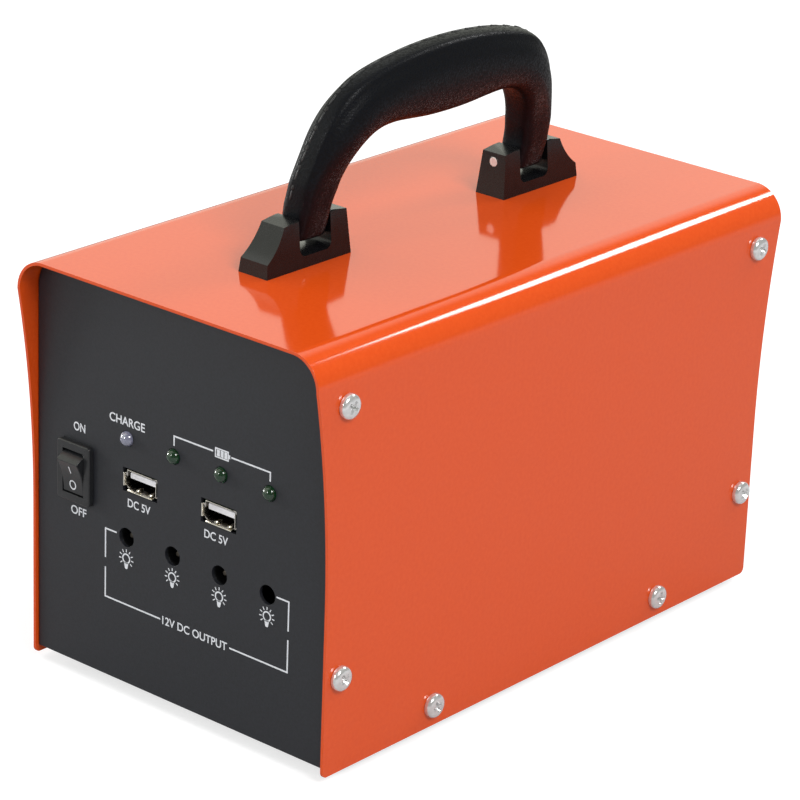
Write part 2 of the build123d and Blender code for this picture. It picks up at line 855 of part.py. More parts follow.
def led_lens(x):
    """A round 5 mm LED lens, pointing forward, with its flange behind the panel."""
    with BuildPart() as lens:
        with Locations(Location((x, led_base_y, led_z), (90, 0, 0))):
            Cylinder(
                led_flange_radius,
                led_flange_thickness,
                align=(Align.CENTER, Align.CENTER, Align.MIN),
            )
            Cylinder(
                led_radius,
                led_flange_thickness + led_barrel,
                align=(Align.CENTER, Align.CENTER, Align.MIN),
            )
        with Locations((x, led_base_y - led_flange_thickness - led_barrel, led_z)):
            Sphere(led_radius)
    return lens.part


for name, x in zip(("charge_led", "battery_led_1", "battery_led_2", "battery_led_3"), outlet_x):
    with BuildPart() as lens_piece:
        add(led_lens(x))
    lens_piece.part.label = name
    export_step(lens_piece.part, f"parts/{name}.step")

with BuildPart() as led_leads:
    for x in outlet_x:
        for side in (-0.5, 0.5):
            with Locations(Location((x + side * led_lead_spacing, led_base_y, led_z), (-90, 0, 0))):
                Cylinder(
                    led_lead_radius,
                    -board_front - led_base_y,
                    align=(Align.CENTER, Align.CENTER, Align.MIN),
                )
led_leads.part.label = "led_leads"
export_step(led_leads.part, "parts/led_leads.step")

# ---------------------------------------------------------------- USB sockets
usb_mouth_y = -(panel_front + 0.2)
usb_back_y = -board_front
usb_shell_width = usb_width + 0.1
usb_shell_height = usb_opening_height + 2 * usb_wall
usb_tongue_width = 11.0
usb_tongue_height = 1.9
usb_tongue_lift = 1.2
usb_base_depth = 2.0
usb_base_gap = 0.1
usb_contact_pitch = 2.2
usb_contact_width = 1.0
usb_contact_height = 0.25


def usb_shell(x):
    """Folded nickel shell, open at the front, with four flared lips that leave open corners."""
    with BuildPart() as shell:
        with BuildSketch(Plane.XZ.offset(-usb_mouth_y - usb_flare_length)):
            with Locations((x, usb_z)):
                RectangleRounded(usb_shell_width, usb_shell_height, 2 * usb_wall)
                RectangleRounded(
                    usb_shell_width - 2 * usb_wall,
                    usb_shell_height - 2 * usb_wall,
                    usb_wall,
                    mode=Mode.SUBTRACT,
                )
        extrude(amount=-(usb_back_y - usb_mouth_y - usb_flare_length))
        for plane, half, width in (
            (Plane.YZ.offset(x), usb_shell_height / 2, usb_shell_width - 8 * usb_wall),
            (Plane.XY.offset(usb_z), usb_shell_width / 2, usb_shell_height - 6 * usb_wall),
        ):
            root = usb_mouth_y + usb_flare_length
            for side in (-1, 1):
                inner = half - usb_wall
                points = [
                    (root + 0.4, inner),
                    (root + 0.4, half),
                    (root, half),
                    (usb_mouth_y, half + usb_flare),
                    (usb_mouth_y, half + usb_flare - usb_wall),
                    (root, inner),
                ]
                if plane.z_dir.X > 0.5:
                    outline = [(y, usb_z + side * up) for y, up in points]
                else:
                    outline = [(x + side * out, y) for y, out in points]
                with BuildSketch(plane):
                    with BuildLine():
                        Polyline(*outline, close=True)
                    make_face()
                extrude(amount=width / 2, both=True)
    return shell.part


usb_front_of_tongue = usb_mouth_y + 1.6
for name, x in zip(("left", "right"), usb_x):
    with BuildPart() as shell_piece:
        add(usb_shell(x))
    shell_piece.part.label = f"usb_shell_{name}"
    export_step(shell_piece.part, f"parts/usb_shell_{name}.step")
    with BuildPart() as tongue_piece:
        with Locations((x, usb_front_of_tongue, usb_z + usb_tongue_lift)):
            Box(
                usb_tongue_width,
                usb_back_y - usb_front_of_tongue,
                usb_tongue_height,
                align=(Align.CENTER, Align.MIN, Align.CENTER),
            )
        fillet(tongue_piece.edges().filter_by(Axis.Y), 0.3)
        with Locations((x, usb_back_y, usb_z)):
            Box(
                usb_shell_width - 2 * usb_wall - 2 * usb_base_gap,
                usb_base_depth,
                usb_shell_height - 2 * usb_wall - 2 * usb_base_gap,
                align=(Align.CENTER, Align.MAX, Align.CENTER),
            )
    tongue_piece.part.label = f"usb_tongue_{name}"
    export_step(tongue_piece.part, f"parts/usb_tongue_{name}.step")

usb_tongue_underside = usb_z + usb_tongue_lift - usb_tongue_height / 2
with BuildPart() as usb_contacts:
    for x in usb_x:
        for slot in (-1.5, -0.5, 0.5, 1.5):
            with Locations((
                x + slot * usb_contact_pitch,
                usb_front_of_tongue + 1,
                usb_tongue_underside,
            )):
                Box(
                    usb_contact_width,
                    usb_back_y - usb_base_depth - usb_front_of_tongue - 1,
                    usb_contact_height,
                    align=(Align.CENTER, Align.MIN, Align.MAX),
                )
usb_contacts.part.label = "usb_contacts"
export_step(usb_contacts.part, "parts/usb_contacts.step")

# ---------------------------------------------------------------- round DC outlets
for number, x in enumerate(outlet_x, start=1):
    with BuildPart() as jack:
        with Locations((x, -panel_back, jack_z)):
            Box(
                jack_body_width,
                board_gap,
                jack_body_width,
                align=(Align.CENTER, Align.MIN, Align.CENTER),
            )
        fillet(jack.edges().filter_by(Axis.Y), 0.5)
        with Locations(Location((x, -panel_back, jack_z), (-90, 0, 0))):
            Cylinder(
                jack_bore,
                jack_bore_depth,
                align=(Align.CENTER, Align.CENTER, Align.MIN),
                mode=Mode.SUBTRACT,
            )
    jack.part.label = f"dc_jack_{number}"
    export_step(jack.part, f"parts/dc_jack_{number}.step")

with BuildPart() as socket_pin:
    Cylinder(
        jack_pin_radius,
        jack_bore_depth - 1.0,
        align=(Align.CENTER, Align.CENTER, Align.MIN),
    )
    fillet(socket_pin.edges().sort_by(Axis.Z)[-1], 0.6)
socket_pin_places = [
    Location((x, -panel_back + jack_bore_depth, jack_z), (90, 0, 0)) for x in outlet_x
]
socket_pin_places.append(Location((inlet_x, inlet_mouth - jack_bore_depth, inlet_z), (-90, 0, 0)))
with BuildPart() as socket_pins:
    add(place_copies(socket_pin.part, socket_pin_places))
socket_pins.part.label = "socket_pins"
export_step(socket_pins.part, "parts/socket_pins.step")

with BuildPart() as charge_inlet:
    with Locations(Location((inlet_x, inlet_mouth, inlet_z), (90, 0, 0))):
        Cylinder(
            inlet_flange_radius,
            inlet_flange_thickness,
            align=(Align.CENTER, Align.CENTER, Align.MIN),
        )
        Cylinder(
            inlet_thread_radius,
            inlet_length,
            align=(Align.CENTER, Align.CENTER, Align.MIN),
        )
        Cylinder(
            inlet_bore,
            jack_bore_depth,
            align=(Align.CENTER, Align.CENTER, Align.MIN),
            mode=Mode.SUBTRACT,
        )
    with Locations((inlet_x, inlet_mouth - inlet_length, inlet_z)):
        Box(*inlet_tail, align=(Align.CENTER, Align.MAX, Align.CENTER))
charge_inlet.part.label = "charge_inlet"
export_step(charge_inlet.part, "parts/charge_inlet.step")

with BuildPart() as inlet_nut:
    with BuildSketch(Plane.XZ.offset(-panel_back)):
        with Locations((inlet_x, inlet_z)):
            RegularPolygon(inlet_nut_flat / 2, 6, major_radius=False)
            Circle(inlet_thread_radius + thread_gap, mode=Mode.SUBTRACT)
    extrude(amount=inlet_nut_thickness)
inlet_nut.part.label = "inlet_nut"
export_step(inlet_nut.part, "parts/inlet_nut.step")

# ---------------------------------------------------------------- control board
board_middle = ((board_left + board_right) / 2, cover_base + (board_low + board_high) / 2)
board_hole_radius = small_screw_radius + hole_gap
with BuildPart() as control_board:
    with BuildSketch(Plane.XZ.offset(board_back)):
        with Locations(board_middle):
            RectangleRounded(board_right - board_left, board_high - board_low, 2.0)
        with Locations(*board_stud_places):
            Circle(board_hole_radius, mode=Mode.SUBTRACT)
    extrude(amount=board_thickness)
control_board.part.label = "control_board"
export_step(control_board.part, "parts/control_board.step")

board_screw_bore = 6.5
board_screw_length = 6.0 + board_thickness
with BuildPart() as board_studs:
    with BuildSketch(Plane.XZ.offset(board_front)):
        with Locations(*board_stud_places):
            Circle(board_stud_radius)
    extrude(amount=board_gap)
    with BuildSketch(Plane.XZ.offset(board_front)):
        with Locations(*board_stud_places):
            Circle(small_screw_radius + thread_gap)
    extrude(amount=board_screw_bore, mode=Mode.SUBTRACT)
board_studs.part.label = "board_studs"
export_step(board_studs.part, "parts/board_studs.step")

board_screw = pan_screw(
    small_head_radius, small_head_height, small_screw_radius, board_screw_length
)
with BuildPart() as board_screws:
    add(place_copies(board_screw, [
        Location((x, -board_back, z), (-90, 0, 0)) for x, z in board_stud_places
    ]))
board_screws.part.label = "board_screws"
export_step(board_screws.part, "parts/board_screws.step")

heatsink_width = 22.0
heatsink_height = 18.0
heatsink_depth = 10.0
heatsink_base = 3.0
heatsink_fins = 6
fin_thickness = 1.0
heatsink_at = (board_middle[0] - 22.0, board_middle[1] + 8.0)
transistor_size = (10.0, 4.5, 15.0)
capacitor_radius = 4.0
capacitor_length = 12.0
capacitor_places = [(board_middle[0] + 12.0 + 9.5 * n, board_middle[1] + 14.0) for n in range(3)]
coil_radius = 5.5
coil_wire = 2.2
coil_at = (board_middle[0] + 13.0, board_middle[1] - 1.5)
fuse_radius = 2.6
fuse_length = 20.0
fuse_at = (board_middle[0] - 18.0, board_middle[1] - 13.0)
fuse_clip = 2.0
terminal_block_size = (20.0, 9.0, 10.0)
terminal_block_at = (board_middle[0] + 18.0, board_middle[1] - 17.0)

with BuildPart() as heatsink:
    with Locations((heatsink_at[0], -board_back + transistor_size[1], heatsink_at[1])):
        Box(
            heatsink_width,
            heatsink_base,
            heatsink_height,
            align=(Align.CENTER, Align.MIN, Align.CENTER),
        )
        with GridLocations((heatsink_width - fin_thickness) / (heatsink_fins - 1), 1, heatsink_fins, 1):
            Box(
                fin_thickness,
                heatsink_depth,
                heatsink_height,
                align=(Align.CENTER, Align.MIN, Align.CENTER),
            )
heatsink.part.label = "heatsink"
export_step(heatsink.part, "parts/heatsink.step")

with BuildPart() as power_transistor:
    with Locations((heatsink_at[0], -board_back, heatsink_at[1])):
        Box(*transistor_size, align=(Align.CENTER, Align.MIN, Align.CENTER))
power_transistor.part.label = "power_transistor"
export_step(power_transistor.part, "parts/power_transistor.step")

with BuildPart() as capacitors:
    for x, z in capacitor_places:
        with Locations(Location((x, -board_back, z), (-90, 0, 0))):
            Cylinder(
                capacitor_radius,
                capacitor_length,
                align=(Align.CENTER, Align.CENTER, Align.MIN),
            )
    fillet(capacitors.faces().group_by(Axis.Y)[-1].edges(), 0.6)
capacitors.part.label = "capacitors"
export_step(capacitors.part, "parts/capacitors.step")

with BuildPart() as inductor:
    with Locations(Location((coil_at[0], -board_back + coil_wire, coil_at[1]), (90, 0, 0))):
        Torus(coil_radius - coil_wire / 2, coil_wire)
inductor.part.label = "inductor"
export_step(inductor.part, "parts/inductor.step")

fuse_axis_y = -board_back + fuse_radius + 1.5
with BuildPart() as fuse_holder:
    with Locations((fuse_at[0], -board_back, fuse_at[1])):
        Box(
            fuse_length,
            fuse_radius + 1.5,
            2 * fuse_radius + 2 * fuse_clip,
            align=(Align.CENTER, Align.MIN, Align.CENTER),
        )
    with Locations(Location((fuse_at[0], fuse_axis_y, fuse_at[1]), (0, 90, 0))):
        Cylinder(fuse_radius, 2 * fuse_length, mode=Mode.SUBTRACT)
fuse_holder.part.label = "fuse_holder"
export_step(fuse_holder.part, "parts/fuse_holder.step")

with BuildPart() as fuse:
    with Locations(Location((fuse_at[0], fuse_axis_y, fuse_at[1]), (0, 90, 0))):
        Cylinder(fuse_radius, fuse_length)
fuse.part.label = "fuse"
export_step(fuse.part, "parts/fuse.step")

with BuildPart() as terminal_block:
    with Locations((terminal_block_at[0], -board_back, terminal_block_at[1])):
        Box(*terminal_block_size, align=(Align.CENTER, Align.MIN, Align.CENTER))
terminal_block.part.label = "terminal_block"
export_step(terminal_block.part, "parts/terminal_block.step")

# ---------------------------------------------------------------- battery
foam_top = tray_top + foam_thickness
case_top = foam_top + battery_height - battery_lid_height
battery_top = foam_top + battery_height
cell_count = 6
cell_gap = 1.0
cell_pitch = (battery_length - 2 * battery_wall) / cell_count
cell_floor = foam_top + battery_wall
tab_width = 6.3
tab_thickness = 0.8
tab_height = 8.0
tab_x = battery_width / 2 - 12.0
tab_y = battery_middle_y - battery_length / 2 + 10.0

with BuildPart() as foam_pad:
    with Locations((0, battery_middle_y, tray_top)):
        Box(
            battery_width - 4,
            battery_length - 30,
            foam_thickness,
            align=(Align.CENTER, Align.CENTER, Align.MIN),
        )
foam_pad.part.label = "foam_pad"
export_step(foam_pad.part, "parts/foam_pad.step")

with BuildPart() as battery_case:
    with BuildSketch(Plane.XY.offset(foam_top)):
        with Locations((0, battery_middle_y)):
            RectangleRounded(battery_width, battery_length, 2.0)
    extrude(amount=case_top - foam_top)
    with BuildSketch(Plane.XY.offset(cell_floor)):
        with Locations((0, battery_middle_y)):
            Rectangle(battery_width - 2 * battery_wall, battery_length - 2 * battery_wall)
    extrude(amount=battery_height, mode=Mode.SUBTRACT)
battery_case.part.label = "battery_case"
export_step(battery_case.part, "parts/battery_case.step")

with BuildPart() as battery_lid:
    with BuildSketch(Plane.XY.offset(case_top)):
        with Locations((0, battery_middle_y)):
            RectangleRounded(battery_width, battery_length, 2.0)
    extrude(amount=battery_lid_height)
battery_lid.part.label = "battery_lid"
export_step(battery_lid.part, "parts/battery_lid.step")

with BuildPart() as battery_cells:
    with Locations((0, battery_middle_y, cell_floor)):
        with GridLocations(1, cell_pitch, 1, cell_count):
            Box(
                battery_width - 2 * battery_wall - 2 * cell_gap,
                cell_pitch - cell_gap,
                case_top - cell_floor - cell_gap,
                align=(Align.CENTER, Align.CENTER, Align.MIN),
            )
battery_cells.part.label = "battery_cells"
export_step(battery_cells.part, "parts/battery_cells.step")

with BuildPart() as battery_terminals:
    with Locations((tab_x, tab_y, battery_top), (-tab_x, tab_y, battery_top)):
        Box(tab_width, tab_thickness, tab_height, align=(Align.CENTER, Align.CENTER, Align.MIN))
battery_terminals.part.label = "battery_terminals"
export_step(battery_terminals.part, "parts/battery_terminals.step")

connector_size = (8.0, 2.8, 9.0)
with BuildPart() as spade_connectors:
    with Locations((tab_x, tab_y, battery_top + 1), (-tab_x, tab_y, battery_top + 1)):
        Box(*connector_size, align=(Align.CENTER, Align.CENTER, Align.MIN))
        Box(
            tab_width,
            tab_thickness,
            2 * (tab_height - 1),
            mode=Mode.SUBTRACT,
        )
spade_connectors.part.label = "spade_connectors"
export_step(spade_connectors.part, "parts/spade_connectors.step")

strap_inside = battery_width / 2 + strap_gap
with BuildPart() as battery_strap:
    with Locations((0, battery_middle_y, battery_top)):
        Box(
            2 * (strap_inside + strap_thickness),
            strap_width,
            strap_thickness,
            align=(Align.CENTER, Align.CENTER, Align.MIN),
        )
    for side in (-1, 1):
        with Locations((side * (strap_inside + strap_thickness / 2), battery_middle_y, tray_top)):
            Box(
                strap_thickness,
                strap_width,
                battery_top - tray_top,
                align=(Align.CENTER, Align.CENTER, Align.MIN),
            )
        with Locations((
            side * (strap_inside + (strap_thickness + strap_foot) / 2),
            battery_middle_y,
            tray_top,
        )):
            Box(
                strap_thickness + strap_foot,
                strap_width,
                strap_thickness,
                align=(Align.CENTER, Align.CENTER, Align.MIN),
            )
    with Locations(*[(x, y, tray_top) for x, y in base_screw_places[8:]]):
        Cylinder(small_screw_radius + hole_gap, 4 * strap_thickness, mode=Mode.SUBTRACT)
battery_strap.part.label = "battery_strap"
export_step(battery_strap.part, "parts/battery_strap.step")

# ---------------------------------------------------------------- leads inside the case
thin_lead_radius = 1.0
connector_top = battery_top + 1 + connector_size[2]
block_face = -board_back + terminal_block_size[1]
block_x, block_z = terminal_block_at
terminal_end = -panel_front + switch_body_depth + terminal_length
inlet_tail_end = inlet_mouth - inlet_length - inlet_tail[1]
charge_pad = (board_left + 5.0, board_middle[1] - 19.0)


def arc_radii(points):
    """The largest tidy arc at each corner of a route, from its two runs and its turn."""
    route = [Vector(*point) for point in points]
    radii = []
    for before, corner, after in zip(route, route[1:], route[2:]):
        arriving, leaving = corner - before, after - corner
        half_turn = radians(arriving.get_angle(leaving)) / 2
        radii.append(0.45 * min(arriving.length, leaving.length) / tan(half_turn))
    return radii


def lead(name, points, radius):
    """A lead's solid along its route, with its arcs' radii and its length printed."""
    radii = arc_radii(points)
    piece = tube(points, radii, radius)
    length = piece.volume / (pi * radius**2)
    print(name, "length", round(length, 1), "radii", [round(value, 1) for value in radii])
    return piece


red_points = [
    (tab_x, tab_y, connector_top),
    (tab_x, tab_y, connector_top + 7),
    (tab_x + 3, tab_y - 13, connector_top + 13),
    (tab_x + 8, tab_y - 26, connector_top),
    (tab_x + 9, tab_y - 27, connector_top - 22),
    (block_x + 6, tab_y - 24, block_z + 16),
    (block_x + 5, block_face + 9, block_z),
    (block_x + 5, block_face, block_z),
]
black_points = [
    (-tab_x, tab_y, connector_top),
    (-tab_x, tab_y, connector_top + 7),
    (3 - tab_x, tab_y - 13, connector_top + 12),
    (16 - tab_x, tab_y - 25, connector_top - 2),
    (30 - tab_x, tab_y - 26, connector_top - 22),
    (block_x - 6, tab_y - 23, block_z + 16),
    (block_x - 5, block_face + 9, block_z),
    (block_x - 5, block_face, block_z),
]
charge_points = [
    (inlet_x, inlet_tail_end, inlet_z),
    (inlet_x, inlet_tail_end - 10, inlet_z),
    (inlet_x - 7, inlet_tail_end - 30, inlet_z - 3),
    (inlet_x - 10, inlet_tail_end - 65, inlet_z - 1),
    (inlet_x - 9, inlet_tail_end - 100, inlet_z + 4),
    (inlet_x - 6, inlet_tail_end - 130, inlet_z + 12),
    (inlet_x - 1, inlet_tail_end - 154, charge_pad[1]),
    (charge_pad[0], inlet_tail_end - 168, charge_pad[1]),
    (charge_pad[0], -board_back, charge_pad[1]),
]
for name, points, radius in (
    ("battery_lead_red", red_points, lead_radius),
    ("battery_lead_black", black_points, lead_radius),
    ("charge_lead", charge_points, lead_radius),
):
    with BuildPart() as lead_piece:
        add(lead(name, points, radius))
    lead_piece.part.label = name
    export_step(lead_piece.part, f"parts/{name}.step")

with BuildPart() as switch_leads:
    for step, pad_rise in ((0.5, 4.0), (-0.5, -5.0)):
        start_z = switch_z + step * terminal_pitch
        pad_z = switch_z + pad_rise
        add(lead("switch_lead", [
            (switch_x, terminal_end, start_z),
            (switch_x, terminal_end + 8, start_z),
            (switch_x + 8, terminal_end + 11, (start_z + pad_z) / 2),
            (board_left + 5, terminal_end + 5, pad_z),
            (board_left + 5, -board_back, pad_z),
        ], thin_lead_radius))
switch_leads.part.label = "switch_leads"
export_step(switch_leads.part, "parts/switch_leads.step")
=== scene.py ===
import json
from math import cos, hypot, pi, radians, sin, sqrt

import bmesh
import bpy
import numpy as np
from mathutils import Matrix, Vector
from mathutils.bvhtree import BVHTree


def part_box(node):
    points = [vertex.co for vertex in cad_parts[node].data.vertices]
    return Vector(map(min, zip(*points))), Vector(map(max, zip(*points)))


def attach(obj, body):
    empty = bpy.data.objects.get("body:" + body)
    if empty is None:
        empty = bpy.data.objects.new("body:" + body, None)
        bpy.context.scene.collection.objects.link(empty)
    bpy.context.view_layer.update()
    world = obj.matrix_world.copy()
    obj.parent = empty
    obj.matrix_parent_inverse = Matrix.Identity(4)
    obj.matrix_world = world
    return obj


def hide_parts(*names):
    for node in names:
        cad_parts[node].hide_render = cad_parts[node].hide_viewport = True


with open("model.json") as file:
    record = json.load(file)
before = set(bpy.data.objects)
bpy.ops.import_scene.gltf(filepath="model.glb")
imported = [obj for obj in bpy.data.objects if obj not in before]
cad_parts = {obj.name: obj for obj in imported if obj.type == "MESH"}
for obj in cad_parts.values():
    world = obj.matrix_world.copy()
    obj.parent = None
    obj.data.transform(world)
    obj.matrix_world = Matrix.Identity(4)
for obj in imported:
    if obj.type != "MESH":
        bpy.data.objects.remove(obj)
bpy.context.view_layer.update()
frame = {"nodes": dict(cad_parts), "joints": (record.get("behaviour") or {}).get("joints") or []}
print("frame loaded", len(frame["nodes"]), "nodes")

# Lengths in the settings are millimetres; meshes are in metres, +X right, -Y front, +Z up.
mm = 0.001
scene = bpy.context.scene
coverLow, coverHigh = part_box("cover")
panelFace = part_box("front_panel")[0].y
hinges = {joint["name"]: joint for joint in frame["joints"]}
handlePivot = Vector(hinges["handle_fold"]["pos_m"])


# Materials: every finish is named for what the surface is made of.
def hexColour(code):
    channels = [int(code[n : n + 2], 16) / 255 for n in (0, 2, 4)]
    return [c / 12.92 if c < 0.0405 else ((c + 0.055) / 1.055) ** 2.4 for c in channels] + [1.0]


def addNode(tree, kind, settings=None, links=None):
    node = tree.nodes.new(kind)
    for key, value in (settings or {}).items():
        if isinstance(key, int) or key in node.inputs:
            node.inputs[key].default_value = value
        else:
            setattr(node, key, value)
    for key, source in (links or {}).items():
        # A whole node stands for its first output.
        source = source.outputs[0] if isinstance(source, bpy.types.Node) else source
        tree.links.new(source, node.inputs[key])
    return node


def startMaterial(name):
    material = bpy.data.materials.new(name)
    material.use_nodes = True
    material.node_tree.nodes.clear()
    where = addNode(material.node_tree, "ShaderNodeTexCoord").outputs["Object"]
    return material, material.node_tree, where


# What a finish has unless its own dictionary says otherwise.
plainLook = {"patchMm": 2, "grainMm": 0.5, "depthMm": 0.02, "bump": 0.5, "shader": {"IOR": 1.5}}
bareMetal = {"Metallic": 1.0}
noiseSpread = {"From Min": 0.3, "From Max": 0.7}  # a noise seldom leaves this range


def addShader(tree, values, colour, rough, normal=None):
    links = {"Base Color": colour.outputs[2], "Roughness": rough}
    if normal:
        links["Normal"] = normal
    shader = addNode(tree, "ShaderNodeBsdfPrincipled", values, links)
    addNode(tree, "ShaderNodeOutputMaterial", None, {"Surface": shader})


def makeFinish(name, changes):
    # Two colours in soft patches, and a grain that drives both roughness and bump.
    look = {**plainLook, **changes}
    first, second = (hexColour(code) for code in look["colours"])
    material, tree, where = startMaterial(name)
    patch = addNode(
        tree, "ShaderNodeTexNoise", {"Scale": 1 / (look["patchMm"] * mm), "Detail": 3.0},
        {"Vector": where},
    )
    spread = addNode(tree, "ShaderNodeMapRange", noiseSpread, {"Value": patch})
    tint = addNode(tree, "ShaderNodeMix", {"data_type": "RGBA", 6: first, 7: second}, {0: spread})
    grain = addNode(
        tree, "ShaderNodeTexNoise",
        {"Scale": 1 / (look["grainMm"] * mm), "Detail": 4.0, "Roughness": 0.6}, {"Vector": where},
    ).outputs["Fac"]
    low, high = look["rough"]
    dull = addNode(
        tree, "ShaderNodeMapRange", {**noiseSpread, "To Min": low, "To Max": high}, {"Value": grain}
    )
    bump = addNode(
        tree, "ShaderNodeBump", {"Strength": look["bump"], "Distance": look["depthMm"] * mm},
        {"Height": grain},
    )
    addShader(tree, look["shader"], tint, dull, bump)
    material.diffuse_color = first
    return material


# Baked orange enamel on steel sheet: wet gloss with a faint orange peel, so it mirrors softly.
bakedEnamel = makeFinish("bakedEnamelSteel", {
    "colours": ("D54A12", "D94F16"), "rough": (0.07, 0.11), "patchMm": 1.4, "grainMm": 0.7,
    "depthMm": 0.003, "bump": 0.3, "shader": {"IOR": 1.52},
})
# Charcoal powder coat on the end panels: fine dry texture with a broad soft sheen.
powderCoat = makeFinish("powderCoatedPanel", {
    "colours": ("17181D", "1D1F26"), "rough": (0.42, 0.58), "patchMm": 0.9, "grainMm": 0.45,
    "depthMm": 0.05,
})
# Zinc-plated base sheet: grey metal with a slow spangle.
zincSheet = makeFinish("zincPlatedSheet", {
    "colours": ("A8AAA8", "BBBDBB"), "rough": (0.28, 0.42), "patchMm": 7, "grainMm": 1.2,
    "depthMm": 0.01, "shader": bareMetal,
})
# Bright nickel-plated screws: mirror steel with faint tumbling marks.
brightScrew = makeFinish("nickelPlatedScrew", {
    "colours": ("F0F0F0", "DCDCDC"), "rough": (0.1, 0.24), "patchMm": 1.2, "grainMm": 0.35,
    "shader": {"Metallic": 0.7},
})
# Drawn pins with a tumbled nickel flash: pale and satin.
pinNickel = makeFinish("tumbledNickelPin", {
    "colours": ("E2DEDC", "D2CECC"), "rough": (0.42, 0.55), "patchMm": 1, "grainMm": 0.4,
    "shader": {"Metallic": 0.75},
})
# Plain plated steel for the hidden screws, nuts and pins.
platedSteel = makeFinish("platedSteel", {
    "colours": ("C2C1BC", "A9A8A3"), "rough": (0.22, 0.36), "grainMm": 0.4, "shader": bareMetal,
})
# Nickelled socket shells: warm bright metal.
socketNickel = makeFinish("stampedNickel", {
    "colours": ("D6D2C8", "B9B2A2"), "rough": (0.12, 0.26), "patchMm": 1.5, "depthMm": 0.01,
    "shader": bareMetal,
})
# Socket pins and springs deep in their bores: nickel darkened to a dull brown as painted shade of
# the bores.
boreShadedPin = makeFinish("oxidisedPin", {
    "colours": ("5A554E", "48433D"), "rough": (0.3, 0.45), "patchMm": 1, "grainMm": 0.4,
    "shader": bareMetal,
})
# Stamped brass and bronze contacts.
contactBrass = makeFinish("stampedBrass", {
    "colours": ("C8A45A", "B08B45"), "rough": (0.2, 0.34), "depthMm": 0.01, "shader": bareMetal,
})
# Bracket moulding in black glass-filled nylon: dense fine spark grain, dull with lit edges.
blackNylon = makeFinish("mouldedBlackNylon", {
    "colours": ("0A0A0C", "101012"), "rough": (0.2, 0.32), "patchMm": 3, "depthMm": 0.05,
    "bump": 0.35, "shader": {"IOR": 1.5, "Specular IOR Level": 0.4},
})
# Switch moulding in black ABS: smoother than the brackets, satin.
satinAbs = makeFinish("mouldedBlackABS", {
    "colours": ("1B1C1E", "212224"), "rough": (0.26, 0.36), "grainMm": 0.3, "depthMm": 0.015,
    "shader": {"IOR": 1.52},
})
# Socket moulding, deep black so that the bores read as holes.
deepPlastic = makeFinish(
    "mouldedSocketPlastic", {"colours": ("08080A", "0B0B0D"), "rough": (0.4, 0.55), "grainMm": 0.4}
)
# Socket tongue in white liquid-crystal polymer.
whiteTongue = makeFinish(
    "mouldedWhitePolymer", {"colours": ("F2F1F4", "E9E8EC"), "rough": (0.25, 0.35), "depthMm": 0.01}
)
# Silk-screened ink: thin opaque white film, slightly uneven.
screenInk = makeFinish("silkScreenInk", {
    "colours": ("E4E6EA", "D2D5DA"), "rough": (0.45, 0.6), "patchMm": 0.8, "grainMm": 0.25,
    "depthMm": 0.01, "shader": {"IOR": 1.48},
})
# Rubber feet and foam: dead matt black.
footRubber = makeFinish("mouldedRubber", {
    "colours": ("121213", "19191A"), "rough": (0.62, 0.78), "patchMm": 3, "grainMm": 0.6,
    "depthMm": 0.06,
})
# Polyester sewing thread, black with a slight shine along its ply.
sewingThread = makeFinish("polyesterThread", {
    "colours": ("0D0E11", "17181C"), "rough": (0.4, 0.55), "patchMm": 0.5, "grainMm": 0.3,
    "depthMm": 0.06, "shader": {"Sheen Weight": 0.1},
})
# Fibreglass board under green solder mask.
circuitBoard = makeFinish(
    "solderMaskBoard", {"colours": ("0C4A26", "12602F"), "rough": (0.2, 0.32), "patchMm": 3}
)
# Extruded and drawn aluminium of the heatsink, studs and cans.
bareAluminium = makeFinish("extrudedAluminium", {
    "colours": ("C3C4C6", "B2B3B5"), "rough": (0.25, 0.4), "patchMm": 4, "grainMm": 0.6,
    "shader": bareMetal,
})
# Ferrite core with enamelled wire.
ferriteCore = makeFinish("woundFerrite", {
    "colours": ("6B3A1E", "3B2A20"), "rough": (0.3, 0.5), "patchMm": 1.2, "grainMm": 0.4,
    "depthMm": 0.06,
})
# Battery case in grey ABS.
batteryAbs = makeFinish("mouldedBatteryABS", {
    "colours": ("2D2E31", "343538"), "rough": (0.4, 0.55), "patchMm": 5, "grainMm": 0.6,
    "depthMm": 0.03,
})
# Lead plates and glass mat, dull grey.
leadPlate = makeFinish("pastedLeadPlate", {
    "colours": ("6E7073", "56585B"), "rough": (0.5, 0.7), "patchMm": 3, "grainMm": 0.8,
    "depthMm": 0.05, "shader": {"Metallic": 0.6},
})
# Soft PVC on the leads, red and black.
redPvc = makeFinish("redPvcLead", {
    "colours": ("A81414", "9A1010"), "rough": (0.3, 0.42), "patchMm": 4, "grainMm": 0.6,
})
blackPvc = makeFinish("blackPvcLead", {
    "colours": ("141415", "1A1A1B"), "rough": (0.32, 0.45), "patchMm": 4, "grainMm": 0.6,
})
# Green nylon terminal block.
greenNylon = makeFinish(
    "mouldedGreenNylon", {"colours": ("1E6E3A", "226F3E"), "rough": (0.3, 0.45), "patchMm": 3}
)
